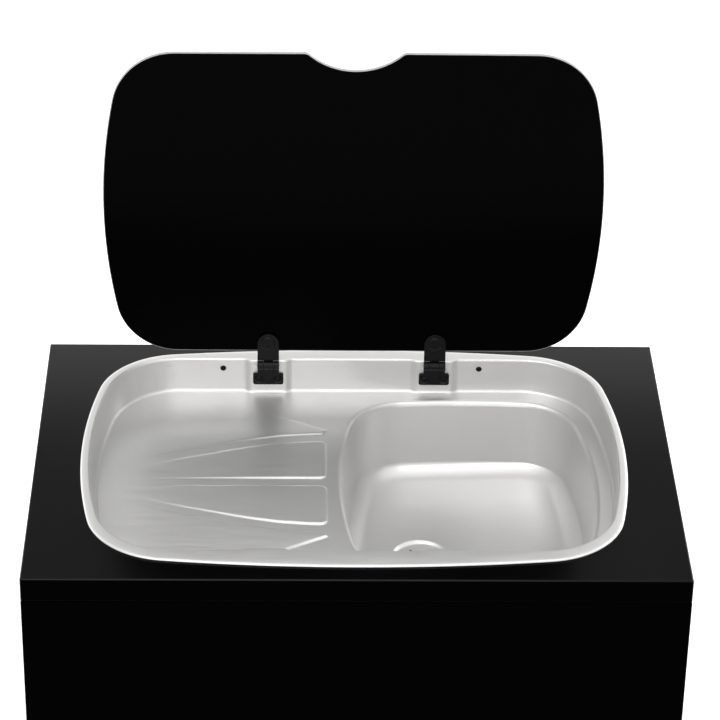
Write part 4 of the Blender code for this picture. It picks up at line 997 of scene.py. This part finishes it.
def mathNode(tree, operation, a, b):
    made = tree.nodes.new("ShaderNodeMath")
    made.operation = operation
    for socket, value in zip(made.inputs, (a, b)):
        if isinstance(value, (int, float)):
            socket.default_value = value
        else:
            tree.links.new(value, socket)
    return made.outputs[0]


def straightRays(tree, path):  # what the camera sees, through glass too
    return mathNode(tree, "MAXIMUM", path.outputs["Is Camera Ray"],
                    path.outputs["Is Transmission Ray"])


def worldLight():  # white for camera and transmission rays, white fading upward for glossy ones
    world = bpy.data.worlds.new("whiteRoom")
    world.use_nodes = True
    bpy.context.scene.world = world
    tree = world.node_tree
    path = tree.nodes.new("ShaderNodeLightPath")
    where = tree.nodes.new("ShaderNodeTexCoord")
    split = tree.nodes.new("ShaderNodeSeparateXYZ")
    tree.links.new(where.outputs["Generated"], split.inputs[0])
    fade = tree.nodes.new("ShaderNodeMapRange")
    fade.interpolation_type = "SMOOTHSTEP"
    fade.inputs["From Min"].default_value, fade.inputs["From Max"].default_value = studio["fade"]
    fade.inputs["To Min"].default_value = studio["white"]
    fade.inputs["To Max"].default_value = studio["overhead"]
    tree.links.new(split.outputs["Z"], fade.inputs["Value"])
    seen = mathNode(tree, "MULTIPLY", straightRays(tree, path), studio["white"])
    shiny = mathNode(tree, "MULTIPLY", path.outputs["Is Glossy Ray"], fade.outputs["Result"])
    total = mathNode(tree, "MAXIMUM", mathNode(tree, "MAXIMUM", seen, shiny), studio["room"])
    back = tree.nodes["Background"]
    back.inputs["Color"].default_value = (1, 1, 1, 1)
    tree.links.new(total, back.inputs["Strength"])


def floorSheet():
    nothingSelected()
    bpy.ops.mesh.primitive_plane_add(size=studio["floorSize"],
                                     location=(0, 0, studio["floorTop"]))
    floor = named("studioFloor")
    material = bpy.data.materials.new("paleFloor")
    material.use_nodes = True
    tree = material.node_tree
    tree.nodes.clear()
    out = tree.nodes.new("ShaderNodeOutputMaterial")
    matt = tree.nodes.new("ShaderNodeBsdfDiffuse")
    matt.inputs["Color"].default_value = (studio["floor"],) * 3 + (1,)
    glow = tree.nodes.new("ShaderNodeEmission")
    path = tree.nodes.new("ShaderNodeLightPath")
    seen = mathNode(tree, "MAXIMUM", straightRays(tree, path), path.outputs["Is Glossy Ray"])
    tree.links.new(mathNode(tree, "MULTIPLY", seen, studio["floorGlow"]), glow.inputs["Strength"])
    both = tree.nodes.new("ShaderNodeAddShader")
    tree.links.new(matt.outputs[0], both.inputs[0])
    tree.links.new(glow.outputs[0], both.inputs[1])
    tree.links.new(both.outputs[0], out.inputs["Surface"])
    floor.data.materials.append(material)


def lamp(name, place, target, size, power):
    data = bpy.data.lights.new(name, "AREA")
    data.shape = "RECTANGLE"
    data.size, data.size_y = size
    data.energy = power
    made = linked(bpy.data.objects.new(name, data))
    made.location = place
    made.rotation_euler = (Vector(target) - Vector(place)).to_track_quat("-Z", "Y").to_euler()


def camera():
    data = bpy.data.cameras.new("photoCamera")
    data.lens, data.sensor_width = view["lens"], view["sensor"]
    data.clip_start, data.clip_end = view["clip"]
    made = linked(bpy.data.objects.new("photoCamera", data))
    made.location = view["at"]
    made.rotation_euler = [math.radians(angle) for angle in view["turn"]]
    bpy.context.scene.camera = made


worldLight()
floorSheet()
for each in studio["lamps"]:
    lamp(*each)
camera()
bpy.context.scene.view_settings.view_transform = "Standard"
print("stage and camera set")
